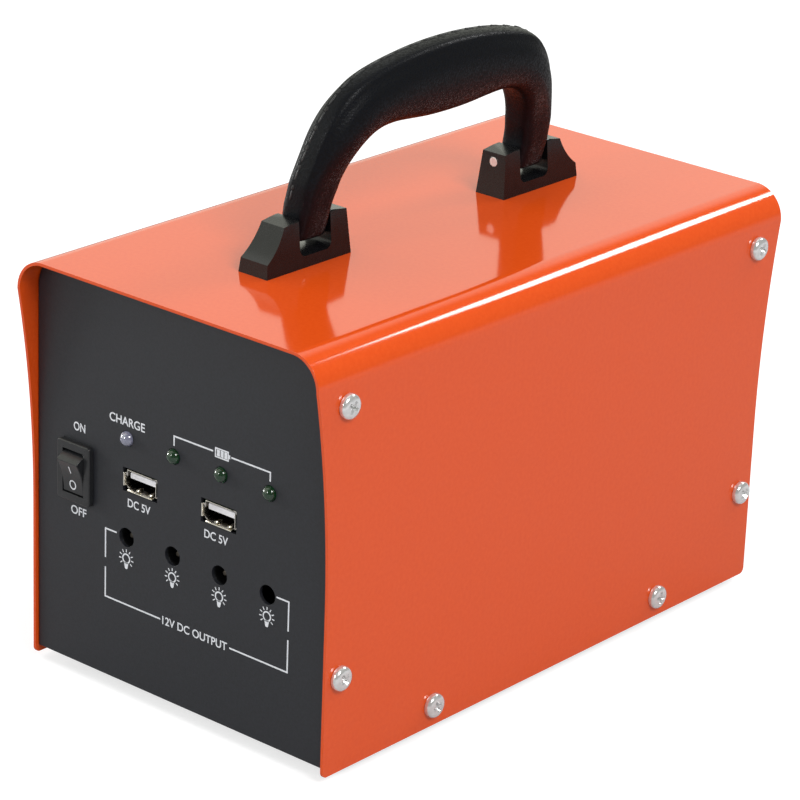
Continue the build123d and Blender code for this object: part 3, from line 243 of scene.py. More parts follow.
# Tinted epoxy lenses: clear casting with a sharp highlight, dark while unlit.
greenEpoxy = makeFinish("castGreenEpoxy", {
    "colours": ("0A2E16", "104020"), "rough": (0.05, 0.09), "patchMm": 1.5, "grainMm": 1.0,
    "depthMm": 0.002, "shader": {"IOR": 1.54, "Transmission Weight": 0.3, "Coat Weight": 0.5},
})
milkyEpoxy = makeFinish("castMilkyEpoxy", {
    "colours": ("8F90A6", "7C7E96"), "rough": (0.08, 0.14), "patchMm": 1.5, "grainMm": 1.0,
    "depthMm": 0.002,
    "shader": {"IOR": 1.8, "Transmission Weight": 0.25, "Coat Weight": 1.0, "Coat IOR": 1.8},
})
fuseGlass = makeFinish("drawnFuseGlass", {
    "colours": ("E6EEEE", "DCE6E6"), "rough": (0.02, 0.05), "patchMm": 5, "grainMm": 2,
    "depthMm": 0.002, "shader": {"IOR": 1.5, "Transmission Weight": 0.9},
})


def makeLeather():
    # Embossed black leatherette on the grip: pebbled grain, drawn as coarse as it needs to show,
    # satin with brighter pebble tops, broken by finer pores.
    leather = {
        "colours": ("090A0D", "101217"), "rough": (0.54, 0.22), "pebbleMm": 0.8,
        "pebbleDepthMm": 0.09, "pebbleBump": 0.4, "poreMm": 0.35, "poreDepthMm": 0.04,
        "poreBump": 0.7, "warpMm": 3, "warpShare": 0.0012,
        "shader": {"IOR": 1.45, "Specular IOR Level": 0.14},
    }
    hollow, top = (hexColour(code) for code in leather["colours"])
    low, high = leather["rough"]
    material, tree, where = startMaterial("pebbledLeatherette")
    warp = addNode(
        tree, "ShaderNodeTexNoise", {"Scale": 1 / (leather["warpMm"] * mm), "Detail": 2.0},
        {"Vector": where},
    )
    nudge = addNode(
        tree, "ShaderNodeMix", {"data_type": "VECTOR", 0: leather["warpShare"]},
        {4: where, 5: warp.outputs["Color"]},
    )
    pebble = addNode(
        tree, "ShaderNodeTexVoronoi",
        {"feature": "SMOOTH_F1", "Scale": 1 / (leather["pebbleMm"] * mm), "Smoothness": 0.4},
        {"Vector": nudge.outputs[1]},
    )
    crown = addNode(
        tree, "ShaderNodeMapRange",
        {"From Min": 0.15, "From Max": 0.75, "To Min": 1.0, "To Max": 0.0}, {"Value": pebble},
    )
    pore = addNode(
        tree, "ShaderNodeTexNoise",
        {"Scale": 1 / (leather["poreMm"] * mm), "Detail": 4.0, "Roughness": 0.65},
        {"Vector": where},
    ).outputs["Fac"]
    coarse = addNode(
        tree, "ShaderNodeBump",
        {"Strength": leather["pebbleBump"], "Distance": leather["pebbleDepthMm"] * mm},
        {"Height": crown},
    )
    fine = addNode(
        tree, "ShaderNodeBump",
        {"Strength": leather["poreBump"], "Distance": leather["poreDepthMm"] * mm},
        {"Height": pore, "Normal": coarse},
    )
    tint = addNode(tree, "ShaderNodeMix", {"data_type": "RGBA", 6: hollow, 7: top}, {0: crown})
    dull = addNode(tree, "ShaderNodeMapRange", {"To Min": low, "To Max": high}, {"Value": crown})
    addShader(tree, leather["shader"], tint, dull, fine)
    return material


def makeShellMetal():
    # Stamped nickel of the socket shells: bright at the flared mouth, and darker deeper inside as
    # painted shade of the shell's recess.
    shell = {
        "colours": ("DAD6CE", "3A332C"), "rough": (0.12, 0.32), "scuffMm": 0.6, "shadeStartMm": 1.5,
        "shadeFullMm": 3.0,
    }
    bright, dark = (hexColour(code) for code in shell["colours"])
    low, high = shell["rough"]
    material, tree, where = startMaterial("stampedShellNickel")
    depth = addNode(tree, "ShaderNodeSeparateXYZ", None, {0: where}).outputs["Y"]
    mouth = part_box("usb_shell_left")[0].y
    # Painted shade: the colour darkens from the mouth inward, where the inside of the shell lies in
    # shade.
    inward = addNode(
        tree, "ShaderNodeMapRange",
        {"From Min": mouth + shell["shadeStartMm"] * mm, "From Max": mouth + shell["shadeFullMm"] * mm},
        {"Value": depth},
    )
    scuff = addNode(
        tree, "ShaderNodeTexNoise", {"Scale": 1 / (shell["scuffMm"] * mm), "Detail": 4.0},
        {"Vector": where},
    )
    tint = addNode(tree, "ShaderNodeMix", {"data_type": "RGBA", 6: bright, 7: dark}, {0: inward})
    dull = addNode(tree, "ShaderNodeMapRange", {"To Min": low, "To Max": high}, {"Value": scuff})
    addShader(tree, bareMetal, tint, dull)
    return material


leatherette = makeLeather()
shellMetal = makeShellMetal()
print("materials made", len(bpy.data.materials))


def newPiece(name, mesh, finish):
    mesh.materials.clear()
    mesh.materials.append(finish)
    piece = bpy.data.objects.new(name, mesh)
    scene.collection.objects.link(piece)
    return piece


def meshFrom(name, vertices, faces, edges=()):
    mesh = bpy.data.meshes.new(name)
    mesh.from_pydata([tuple(v) for v in vertices], list(edges), faces)
    mesh.validate()
    mesh.update()
    return mesh


def meshOf(shape, name):
    # A closed shape's faces turned outward, then kept as a mesh.
    bmesh.ops.recalc_face_normals(shape, faces=shape.faces)
    mesh = bpy.data.meshes.new(name)
    shape.to_mesh(mesh)
    shape.free()
    return mesh


def joinOutlines(shape, low, high):
    # A closed solid between two outlines that match point for point.
    low, high = ([shape.verts.new(point) for point in outline] for outline in (low, high))
    shape.faces.new(low)
    shape.faces.new(high[::-1])
    for n in range(len(low)):
        after = (n + 1) % len(low)
        shape.faces.new((low[after], low[n], high[n], high[after]))


def boxCorners(left, right, low, high):
    return [(left, low), (right, low), (right, high), (left, high)]


def smoothShade(mesh, angle):
    mesh.shade_smooth()
    mesh.set_sharp_from_angle(angle=radians(angle))


def addModifier(piece, kind, **settings):
    modifier = piece.modifiers.new(kind.title(), kind)
    for key, value in settings.items():
        setattr(modifier, key, value)
    return modifier


def easeEdges(piece, widthMm, segments, angle, **settings):
    settings.update(width=widthMm * mm, segments=segments, angle_limit=radians(angle))
    addModifier(piece, "BEVEL", limit_method="ANGLE", **settings)


def settle(piece):
    # The evaluated shape becomes the piece's own plain mesh.
    graph = bpy.context.evaluated_depsgraph_get()
    finished = bpy.data.meshes.new_from_object(piece.evaluated_get(graph))
    finished.name = piece.name
    piece.modifiers.clear()
    piece.data = finished
    return piece


def place(piece, body, slot, *nodes):
    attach(piece, body)
    if nodes:
        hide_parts(*nodes)
    return piece


def mergedShape(mesh, gapMm=0.002):
    shape = bmesh.new()
    shape.from_mesh(mesh)
    bmesh.ops.remove_doubles(shape, verts=shape.verts, dist=gapMm * mm)
    return shape


def cadCopy(node):
    # A merged copy of a CAD node's triangles, with flat faces joined up.
    flat = radians(0.4)
    shape = mergedShape(frame["nodes"][node].data)
    bmesh.ops.dissolve_limit(shape, angle_limit=flat, verts=shape.verts, edges=shape.edges)
    mesh = bpy.data.meshes.new(node)
    shape.to_mesh(mesh)
    shape.free()
    for name in ("custom_normal", "sharp_face", "sharp_edge"):
        if name in mesh.attributes:
            mesh.attributes.remove(mesh.attributes[name])
    return mesh


def softened(node, name, finish, slot, edgeMm, body="case", angle=32, segments=2):
    # The node's own shape with its edges eased, as a mould or a press leaves them.
    piece = newPiece(name, cadCopy(node), finish)
    smoothShade(piece.data, 30)
    easeEdges(piece, edgeMm, segments, angle, miter_outer="MITER_SHARP", harden_normals=True)
    return place(settle(piece), body, slot, node)


def solids(node):
    # Lowest and highest corner of each separate solid in a node.
    shape = mergedShape(frame["nodes"][node].data)
    left, found = set(shape.verts), []
    while left:
        queue = [left.pop()]
        island = list(queue)
        while queue:
            for edge in queue.pop().link_edges:
                for vert in edge.verts:
                    if vert in left:
                        left.remove(vert)
                        queue.append(vert)
                        island.append(vert)
        corners = np.array([v.co for v in island])
        found.append((Vector(corners.min(0)), Vector(corners.max(0))))
    shape.free()
    return sorted(found, key=lambda pair: tuple(round(c, 5) for c in pair[0]))


def gridFaces(rows, wide, closed):
    # Quads between rows of points, round each row too where it is closed.
    faces = []
    for row in range(rows - 1):
        here, beyond = row * wide, (row + 1) * wide
        for n in range(wide if closed else wide - 1):
            after = (n + 1) % wide
            faces.append((here + n, here + after, beyond + after, beyond + n))
    return faces


def lathe(name, profile, segments=48):
    # A closed solid turned about Z from (radius, height) pairs in mm, first and last on the axis.
    rings = [(r * mm, z * mm) for r, z in profile[1:-1]]
    vertices = [(0, 0, profile[0][1] * mm)]
    for radius, height in rings:
        for n in range(segments):
            angle = 2 * pi * n / segments
            vertices.append((radius * cos(angle), radius * sin(angle), height))
    vertices.append((0, 0, profile[-1][1] * mm))
    faces = []
    for n in range(segments):
        after = (n + 1) % segments
        faces.append((0, 1 + after, 1 + n))
        for ring in range(len(rings) - 1):
            low, high = 1 + ring * segments, 1 + (ring + 1) * segments
            faces.append((low + n, low + after, high + after, high + n))
        last = 1 + (len(rings) - 1) * segments
        faces.append((last + n, last + after, len(vertices) - 1))
    return meshFrom(name, vertices, faces)


def splineThrough(points, count, fineSteps=1200):
    # A natural cubic spline through the points, evenly sampled along its length.
    points = np.array(points, float)
    steps = np.linalg.norm(np.diff(points, axis=0), axis=1)
    knots = np.concatenate([[0], np.cumsum(steps)])
    size = len(points)
    matrix, right = np.eye(size), np.zeros_like(points)
    for n in range(1, size - 1):
        before, after = steps[n - 1], steps[n]
        matrix[n, n - 1 : n + 2] = before, 2 * (before + after), after
        right[n] = 6 * ((points[n + 1] - points[n]) / after - (points[n] - points[n - 1]) / before)
    bends = np.linalg.solve(matrix, right)

    def at(values):
        cell = np.clip(np.searchsorted(knots, values, side="right") - 1, 0, size - 2)
        width = steps[cell][:, None]
        a = (knots[cell + 1] - values)[:, None] / width
        b = 1 - a
        ease = ((a**3 - a) * bends[cell] + (b**3 - b) * bends[cell + 1]) * width**2 / 6
        return a * points[cell] + b * points[cell + 1] + ease

    dense = at(np.linspace(0, knots[-1], fineSteps))
    lengths = np.concatenate([[0], np.cumsum(np.linalg.norm(np.diff(dense, axis=0), axis=1))])
    even = np.linspace(0, lengths[-1], count)
    return np.stack([np.interp(even, lengths, dense[:, k]) for k in range(2)], axis=1)


def startTree(name, inputs):
    tree = bpy.data.node_groups.new(name, "GeometryNodeTree")
    face = tree.interface
    face.new_socket("Geometry", in_out="OUTPUT", socket_type="NodeSocketGeometry")
    face.new_socket("Geometry", in_out="INPUT", socket_type="NodeSocketGeometry")
    for label, kind in inputs.items():
        face.new_socket(label, in_out="INPUT", socket_type=kind)
    return tree, addNode(tree, "NodeGroupInput")


def endTree(tree, instances, source):
    solid = addNode(tree, "GeometryNodeRealizeInstances", None, {0: instances})
    coloured = addNode(tree, "GeometryNodeSetMaterial", None, {
        "Geometry": solid, "Material": source.outputs["Finish"],
    })
    addNode(tree, "NodeGroupOutput", None, {0: coloured})
    return tree


def runTree(piece, tree, values):
    modifier = piece.modifiers.new(tree.name, "NODES")
    modifier.node_group = tree
    for item in tree.interface.items_tree:
        if item.in_out == "INPUT" and item.name in values:
            modifier[item.identifier] = values[item.name]
    return settle(piece)


facingRead = {"data_type": "FLOAT_VECTOR", "Name": "facing"}


def makeSetOutTree():
    # One part set out on every point, its +Z along the point's facing and turned by chance.
    tree, source = startTree("setOutParts", {
        "Part": "NodeSocketObject", "Turn": "NodeSocketFloat", "Seed": "NodeSocketInt",
        "Finish": "NodeSocketMaterial",
    })
    part = addNode(tree, "GeometryNodeObjectInfo", None, {"Object": source.outputs["Part"]})
    facing = addNode(tree, "GeometryNodeInputNamedAttribute", facingRead)
    aim = addNode(
        tree, "FunctionNodeAlignRotationToVector", {"axis": "Z"},
        {"Vector": facing.outputs["Attribute"]},
    )
    chance = addNode(
        tree, "FunctionNodeRandomValue", {"data_type": "FLOAT"},
        {"Max": source.outputs["Turn"], "Seed": source.outputs["Seed"]},
    )
    turn = addNode(tree, "ShaderNodeCombineXYZ", None, {"Z": chance.outputs[1]})
    spin = addNode(tree, "FunctionNodeEulerToRotation", None, {0: turn})
    turned = addNode(
        tree, "FunctionNodeRotateRotation", {"rotation_space": "LOCAL"},
        {"Rotation": aim, "Rotate By": spin},
    )
    placed = addNode(tree, "GeometryNodeInstanceOnPoints", None, {
        "Points": source.outputs["Geometry"], "Instance": part.outputs["Geometry"],
        "Rotation": turned,
    })
    return endTree(tree, placed, source)


def makeStitchTree():
    # Beads of thread at an even pitch along a path, lying along it and standing on its facing.
    tree, source = startTree("stitchRow", {
        "Pitch": "NodeSocketFloat", "Size": "NodeSocketVector", "Finish": "NodeSocketMaterial",
    })
    path = addNode(tree, "GeometryNodeMeshToCurve", None, {"Mesh": source.outputs["Geometry"]})
    even = addNode(
        tree, "GeometryNodeResampleCurve", {"mode": "LENGTH"},
        {"Curve": path, "Length": source.outputs["Pitch"]},
    )
    tangent = addNode(tree, "GeometryNodeInputTangent")
    facing = addNode(tree, "GeometryNodeInputNamedAttribute", facingRead)
    along = addNode(tree, "FunctionNodeAlignRotationToVector", {"axis": "X"}, {"Vector": tangent})
    upright = addNode(
        tree, "FunctionNodeAlignRotationToVector", {"axis": "Z", "pivot_axis": "X"},
        {"Rotation": along, "Vector": facing.outputs["Attribute"]},
    )
    bead = addNode(tree, "GeometryNodeMeshUVSphere", {"Segments": 10, "Rings": 7, "Radius": 0.5})
    sized = addNode(
        tree, "GeometryNodeTransform", None, {"Geometry": bead, "Scale": source.outputs["Size"]}
    )
    placed = addNode(tree, "GeometryNodeInstanceOnPoints", None, {
        "Points": even, "Instance": sized, "Rotation": upright,
    })
    return endTree(tree, placed, source)


setOutParts = makeSetOutTree()
stitchRow = makeStitchTree()


def pointPiece(name, points, facings, edges=()):
    mesh = meshFrom(name, points, [], edges)
    facing = mesh.attributes.new("facing", "FLOAT_VECTOR", "POINT")
    facing.data.foreach_set("vector", np.array(facings, np.float32).ravel())
    return newPiece(name, mesh, platedSteel)


def setOut(name, mesh, points, facings, finish, turn=0.0, seed=0):
    holder = bpy.data.objects.new(name + "Pattern", mesh)
    piece = pointPiece(name, points, facings)
    values = {"Part": holder, "Turn": turn, "Seed": seed, "Finish": finish}
    runTree(piece, setOutParts, values)
    bpy.data.objects.remove(holder)
    smoothShade(piece.data, 30)
    return piece


def buildCover():
    cover = {
        "sheetMm": 1.0, "bendMm": 10.7, "cornerMm": 2.0, "straightHalfMm": 108.4,
        "flareFromMm": 55.0, "flareRadiusMm": 397.0, "rimMm": 0.3, "cornerSteps": 6,
        "straightLevelsMm": [20.0, 40.0], "flareRows": 18, "bendSteps": 20,
        "columns": (-1, -0.6, -0.2, 0.2, 0.6, 1),
    }
    bend = cover["bendMm"]
    halfWidth = (coverHigh.x - coverLow.x) / 2 / mm
    height = (coverHigh.z - coverLow.z) / mm
    brow = height - bend

    def halfDepth(level):
        rise = max(0.0, min(level, brow) - cover["flareFromMm"])
        reach = cover["flareRadiusMm"]
        depth = cover["straightHalfMm"] + reach - sqrt(reach**2 - rise**2)
        short = cover["cornerMm"] - level
        if short > 0:
            depth -= cover["cornerMm"] - sqrt(cover["cornerMm"] ** 2 - short**2)
        return depth

    steps = cover["cornerSteps"]
    corner = [cover["cornerMm"] * (1 - cos(pi / 2 * n / steps)) for n in range(steps + 1)]
    flare = list(np.linspace(cover["flareFromMm"], brow, cover["flareRows"]))
    side = [(halfWidth, level) for level in corner + cover["straightLevelsMm"] + flare]
    for n in range(1, cover["bendSteps"] + 1):
        angle = pi / 2 * n / cover["bendSteps"]
        side.append((halfWidth - bend * (1 - cos(angle)), brow + bend * sin(angle)))
    profile = side + [(-x, z) for x, z in side[::-1]]
    vertices = []
    for x, z in profile:
        reach = halfDepth(z) * mm
        for share in cover["columns"]:
            vertices.append((x * mm, share * reach, coverLow.z + z * mm))
    faces = gridFaces(len(profile), len(cover["columns"]), False)
    piece = newPiece("coverSheet", meshFrom("coverSheet", vertices, faces), bakedEnamel)
    addModifier(piece, "SOLIDIFY", thickness=cover["sheetMm"] * mm, offset=-1, use_even_offset=True)
    easeEdges(piece, cover["rimMm"], segments=3, angle=50)
    piece.data.shade_smooth()
    addModifier(piece, "WEIGHTED_NORMAL", keep_sharp=True, weight=80)
    place(settle(piece), "case", "orange_enamel", "cover")


buildCover()
print("cover made")


panHead = {
    # Shares of the head's radius and height, from the seat to the crown.
    "profile": (
        (0.96, 0), (1, 0.08), (1, 0.42), (0.97, 0.62), (0.88, 0.82), (0.70, 0.95), (0.40, 1),
    ),
    # The cross recess: its bars taper from above the crown to their floor.
    "wing": 0.62,
    "wingWide": 0.17,
    "recessTop": 1.3,
    "floorWing": 0.42,
    "floorWide": 0.10,
    "floor": 0.15,
    "edgeMm": 0.1,
}
barFaces = ((3, 2, 1, 0), (4, 5, 6, 7), (0, 1, 5, 4), (1, 2, 6, 5), (2, 3, 7, 6), (3, 0, 4, 7))


def crossScrew(name, radius, height, shank, length):
    # Pan head with a driven cross recess, seated on z = 0, its thread a plain shank.
    dome = [(0, -length), (shank, -length), (shank, 0)]
    dome += [(radius * out, height * up) for out, up in panHead["profile"]] + [(0, height)]
    head = newPiece(name, lathe(name, dome), brightScrew)
    wing = radius * panHead["wing"]
    levels = (
        (height * panHead["recessTop"], wing, radius * panHead["wingWide"]),
        (height * panHead["floor"], wing * panHead["floorWing"], radius * panHead["floorWide"]),
    )
    shape = bmesh.new()
    for turn in (0, pi / 2):
        turned = Matrix.Rotation(turn, 3, "Z")
        corners = []
        for level, long, wide in levels:
            for x, y in boxCorners(-long, long, -wide, wide):
                corners.append(shape.verts.new(Vector((x, y, level)) * mm @ turned))
        for face in barFaces:
            shape.faces.new([corners[n] for n in face])
    tool = newPiece("crossRecess", meshOf(shape, "crossRecess"), brightScrew)
    addModifier(head, "BOOLEAN", operation="DIFFERENCE", object=tool, solver="EXACT", use_self=True)
    easeEdges(head, panHead["edgeMm"], segments=2, angle=35)
    mesh = settle(head).data
    bpy.data.objects.remove(head)
    bpy.data.objects.remove(tool)
    return mesh


def buildScrews():
    side = {"radiusMm": 4.0, "headMm": 2.5, "shankMm": 2.0, "lengthMm": 7.0}
    small = {"radiusMm": 2.75, "headMm": 1.8, "shankMm": 1.5, "lengthMm": 5.0}
    mesh = crossScrew("coverScrew", *side.values())
    points, facings = [], []
    for low, high in solids("cover_screws"):
        outward = 1 if low.x > 0 else -1
        middle = (low + high) / 2
        points.append((outward * coverHigh.x, middle.y, middle.z))
        facings.append((outward, 0, 0))
    piece = setOut("coverScrewHeads", mesh, points, facings, brightScrew, 2 * pi, 7)
    place(piece, "case", "bright_screw", "cover_screws")
    mesh = crossScrew("baseScrew", *small.values())
    for node in ("foot_screws", "tray_screws"):
        seats = [
            ((low.x + high.x) / 2, (low.y + high.y) / 2, low.z + small["headMm"] * mm)
            for low, high in solids(node)
        ]
        down = [(0, 0, -1)] * len(seats)
        piece = setOut(node.split("_")[0] + "ScrewHeads", mesh, seats, down, platedSteel, 2 * pi, 3)
        place(piece, "case", "plated_steel", node)


buildScrews()


def buildFeet():
    # Radius and height in mm, from the floor of the screw's well out and up to the seat.
    foot = {
        "wellMm": [(0, 2.6), (3.15, 2.6), (3.15, 0.2)],
        "rimMm": [(3.35, 0.0), (5.2, 0), (5.8, 0.25), (6.1, 0.8)],
        "seatMm": [(6.9, 4.6), (6.7, 5.0), (0, 5.0)],
    }
    points, facings = [], []
    for low, high in solids("rubber_feet"):
        points.append(((low.x + high.x) / 2, (low.y + high.y) / 2, low.z))
        facings.append((0, 0, 1))
    mesh = lathe("rubberFoot", foot["wellMm"] + foot["rimMm"] + foot["seatMm"])
    mesh.flip_normals()
    piece = setOut("rubberFootSet", mesh, points, facings, footRubber)
    place(piece, "case", "foot_rubber", "rubber_feet")


buildFeet()
print("screws and feet made")


# The handle's own axes: thick through it, across from leg to leg, and up from the pivots.
# outer and inner are its two edges, as shares of the reach across and of the rise.
gripShape = {
    "leanDeg": 11.5, "startMm": 6.5, "riseMm": 52.8, "undersideMm": 29.6, "outerReachMm": 60.95,
    "innerReachMm": 46.15, "legHalfMm": 5.6, "gripHalfMm": 8.0, "bandHalfMm": 3.5, "crownMm": 0.5,
    "fullnessMm": 1.0, "drawFromMm": 14.0, "growMm": (14, 36), "squareMm": (13, 36),
    "tongueMm": (46.75, 60.35), "tongueHalfMm": 5.0, "tongueBottomMm": 3.2, "tongueCornerMm": 1.6,
    "tongueTaperMm": 9, "tongueGapMm": 0.5, "tongueSteps": 7, "cornerTurnsDeg": (25, 50, 70, 90),
    "stations": 150, "sectionPoints": 34,
    "outer": [
        (0.985, 0.27), (0.95, 0.42), (0.905, 0.57), (0.83, 0.725), (0.71, 0.858), (0.56, 0.925),
        (0.3, 0.98),
    ],
    "inner": [
        (0.97, 0.5), (0.93, 0.73), (0.85, 0.92), (0.735, 1.025), (0.6, 1.06), (0.39, 1.04),
        (0.2, 1.01),
    ],
}
lean = radians(gripShape["leanDeg"])
riseAxis = Vector((sin(lean), 0, cos(lean)))
thickAxis = Vector((cos(lean), 0, -sin(lean)))
spanAxis = Vector((0, 1, 0))


def gripPoint(thick, across, up):
    # A point of the leaning handle from its own axes, in mm, to metres.
    return handlePivot + (thickAxis * thick + spanAxis * across + riseAxis * up) * mm


def archPoints(reach, rise, shape, start):
    half = [(reach, start)] + [(reach * across, rise * up) for across, up in shape]
    return [(-x, y) for x, y in half] + [(0, rise)] + half[::-1]


def gripCurves():
    g = gripShape
    start = g["startMm"]
    outer = archPoints(g["outerReachMm"], g["riseMm"], g["outer"], start)
    inner = archPoints(g["innerReachMm"], g["undersideMm"], g["inner"], start)
    return splineThrough(outer, g["stations"]), splineThrough(inner, g["stations"])


def shareWithin(value, low, high):
    return min(1.0, max(0.0, (value - low) / (high - low)))


def gripSection(half, length, square):
    # Half outline from the outer band's middle round to the inner edge: (thickness, depth) in mm,
    # full in the hand and squarer towards the legs.
    band, crown = gripShape["bandHalfMm"], gripShape["crownMm"] * (1 - square)
    full = [
        (0, -crown), (0.45, -crown), (1.0, -0.95 * crown), (2.0, -0.65 * crown),
        (band - 0.6, -0.1 * crown), (band - 0.1, 0.35), (band + 0.3, 1.0),
        (band * 0.53 + half * 0.47, 0.17 * length), (band * 0.18 + half * 0.82, 0.32 * length),
        (half * 0.985, 0.46 * length), (half, 0.58 * length), (half * 0.95, 0.77 * length),
        (half * 0.77, 0.92 * length), (half * 0.42, 0.99 * length), (0, length),
    ]
    boxed = [
        (0, 0.0), (0.45, 0.0), (1.0, 0.0), (2.0, 0.05), (band - 0.6, 0.15), (band - 0.1, 0.35),
        (band + 0.3, 0.7), (band * 0.4 + half * 0.6, 0.10 * length),
        (band * 0.15 + half * 0.85, 0.2 * length), (band * 0.03 + half * 0.97, 0.36 * length),
        (half, 0.60 * length), (half - 0.2, 0.84 * length), (half - 1.2, 0.96 * length),
        (half * 0.3, length), (0, length),
    ]
    key = np.array(full) * (1 - square) + np.array(boxed) * square
    return splineThrough(key, gripShape["sectionPoints"])


def buildGrip():
    g = gripShape
    outer, inner = gripCurves()
    low, high = g["tongueMm"]
    middle = (low + high) / 2
    rings = []
    for far, near in zip(outer, inner):
        inward = near - far
        length = hypot(*inward)
        inward = inward / length
        level = (far[1] + near[1]) / 2
        grow = shareWithin(level, *g["growMm"])
        grow = grow * grow * (3 - 2 * grow)
        half = g["legHalfMm"] + (g["gripHalfMm"] - g["legHalfMm"]) * grow
        square = 1 - shareWithin(level, *g["squareMm"])
        side = gripSection(half, length + g["fullnessMm"] * grow, square)
        loop = [*side] + [(-thick, depth) for thick, depth in side[-2:0:-1]]
        ring = np.array([(thick, *(far + inward * depth)) for thick, depth in loop])
        # The leg draws in towards the width of its slot on the way down.
        drawn = shareWithin(level, g["drawFromMm"], g["startMm"])
        centre = middle if ring[0][1] > 0 else -middle
        reach = np.abs(ring[:, 1] - centre).max()
        ring[:, 1] = centre + (ring[:, 1] - centre) * (1 - drawn * (1 - (high - low) / 2 / reach))
        rings.append(ring)
    ridge = [ring[0][1:].copy() for ring in rings]
    # Below the arch each leg runs straight down as a tongue with a rounded end.
    ends = []
    bottom, corner = -g["tongueBottomMm"], g["tongueCornerMm"]
    for ring in (rings[0], rings[-1]):
        steps = []
        top = g["startMm"] - g["tongueGapMm"]
        for level in np.linspace(top, bottom + corner, g["tongueSteps"]):
            moved = ring.copy()
            moved[:, 2] = level
            taper = (g["startMm"] - level) / g["tongueTaperMm"]
            moved[:, 0] *= 1 + (g["tongueHalfMm"] / g["legHalfMm"] - 1) * taper
            steps.append(moved)
        straight = steps[-1]
        for turn in g["cornerTurnsDeg"]:
            moved = straight.copy()
            inset = corner * (1 - cos(radians(turn)))
            moved[:, 0] *= 1 - inset / g["tongueHalfMm"]
            moved[:, 2] = bottom + corner * (1 - sin(radians(turn)))
            steps.append(moved)
        ends.append(steps)
    rings = ends[0][::-1] + rings + ends[1]
    wide = len(rings[0])
    vertices = [gripPoint(*point) for ring in rings for point in ring]
    faces = gridFaces(len(rings), wide, True)
    faces.append(tuple(range(wide))[::-1])
    faces.append(tuple((len(rings) - 1) * wide + n for n in range(wide)))
    shape = bmesh.new()
    shape.from_mesh(meshFrom("gripOutline", vertices, faces))
    mesh = meshOf(shape, "gripSleeve")
    smoothShade(mesh, 60)
    piece = newPiece("gripSleeve", mesh, leatherette)
    place(piece, "handle", "grip_rubber", "handle_grip")
    return ridge


def buildStitches(ridge):
    stitch = {"pitchMm": 6.4, "sizeMm": (4.4, 0.9, 0.6), "asideMm": -1.7, "riseMm": -0.16}
    # The gap row sets matt black discs between the beads: painted shade of the stitch holes.
    gap = {"sizeMm": (1.9, 1.25, 0.5), "riseMm": -0.1}
    for name, row, phase, finish in (
        ("gripStitches", stitch, 0, sewingThread), ("stitchPits", gap, 1, footRubber)
    ):
        facings, points = [], []
        # The row stops a few stations short of each end of the arch.
        for before, here, after in zip(ridge[3:-5], ridge[4:-4], ridge[5:-3]):
            along = after - before
            outward = np.array((-along[1], along[0])) / hypot(*along)
            facings.append(spanAxis * outward[0] + riseAxis * outward[1])
            points.append(gripPoint(stitch["asideMm"], *(here + outward * row["riseMm"])))
        if phase:
            # The dark discs of painted shade for the stitch holes sit half a pitch along, between
            # the beads of thread.
            steps = [(b - a).length for a, b in zip(points, points[1:])]
            first = int(np.searchsorted(np.cumsum(steps), stitch["pitchMm"] * mm / 2))
            points, facings = points[first:], facings[first:]
        edges = [(n, n + 1) for n in range(len(points) - 1)]
        piece = pointPiece(name, points, facings, edges)
        size = Vector(row["sizeMm"]) * mm
        runTree(piece, stitchRow, {"Pitch": stitch["pitchMm"] * mm, "Size": size, "Finish": finish})
        piece.data.shade_smooth()
        place(piece, "handle", "grip_rubber")


def buildCore():
    # The moulded core, its tongues drawn in a little so that the sleeve covers them.
    core = {"belowMm": 11, "marginMm": 1, "thickShare": 0.85, "widthShare": 0.9, "bottomMm": -2.4}
    mesh = cadCopy("handle_core")
    low, high = gripShape["tongueMm"]
    for vertex in mesh.vertices:
        offset = vertex.co - handlePivot
        thick, across, up = offset.dot(thickAxis) / mm, offset.y / mm, offset.dot(riseAxis) / mm
        if abs(across) > low - core["marginMm"] and up < core["belowMm"]:
            middle = (low + high) / 2 * (1 if across > 0 else -1)
            across = middle + (across - middle) * core["widthShare"]
            vertex.co = gripPoint(thick * core["thickShare"], across, max(up, core["bottomMm"]))
    piece = newPiece("handleCore", mesh, blackNylon)
    smoothShade(piece.data, 30)
    place(piece, "handle", "core_plastic", "handle_core")


buildStitches(buildGrip())
buildCore()
print("handle made")

for end in ("front", "rear"):
    name = "handle_bracket_" + end
    softened(name, end + "Bracket", blackNylon, "bracket_plastic", edgeMm=0.55, segments=3)
softened("pivot_pins", "pivotPinEnds", pinNickel, "plated_steel", edgeMm=0.2)
print("brackets made")


# Panels and base.
softened("front_panel", "frontPanel", powderCoat, "panel_coat", edgeMm=0.15)
softened("rear_panel", "rearPanel", powderCoat, "panel_coat", edgeMm=0.15)
softened("base_tray", "baseTray", zincSheet, "zinc_sheet", edgeMm=0.2)
print("panels made")


# Marks silk-screened on the front panel.
inkRise = 0.03 * mm
inkSink = 0.02 * mm


def flatInk(name, outlines):
    # Closed thin solids from flat outlines in (x, z) mm, standing just proud of the panel.
    shape = bmesh.new()
    for outline in outlines:
        levels = (panelFace + inkSink, panelFace - inkRise)
        joinOutlines(shape, *([(x * mm, level, z * mm) for x, z in outline] for level in levels))
    return meshOf(shape, name)


def strokeOutlines(points, width, closed=False, leastMitre=0.3):
    # The two sides of a line of even width with mitred corners, one quad for each run.
    points = [Vector(p) for p in points]
    count = len(points)
    sides = []
    for n, point in enumerate(points):
        arriving = point - points[n - 1] if n or closed else None
        leaving = points[(n + 1) % count] - point if n < count - 1 or closed else None
        ways = [way.normalized() for way in (arriving, leaving) if way is not None]
        along = sum(ways, Vector((0, 0))).normalized()
        across = Vector((-along.y, along.x))
        aside = across * width / 2 * (1 / max(leastMitre, abs(along.dot(ways[0]))))
        sides.append((point + aside, point - aside))
    runs = count if closed else count - 1
    return [[*sides[n], *sides[(n + 1) % count][::-1]] for n in range(runs)]


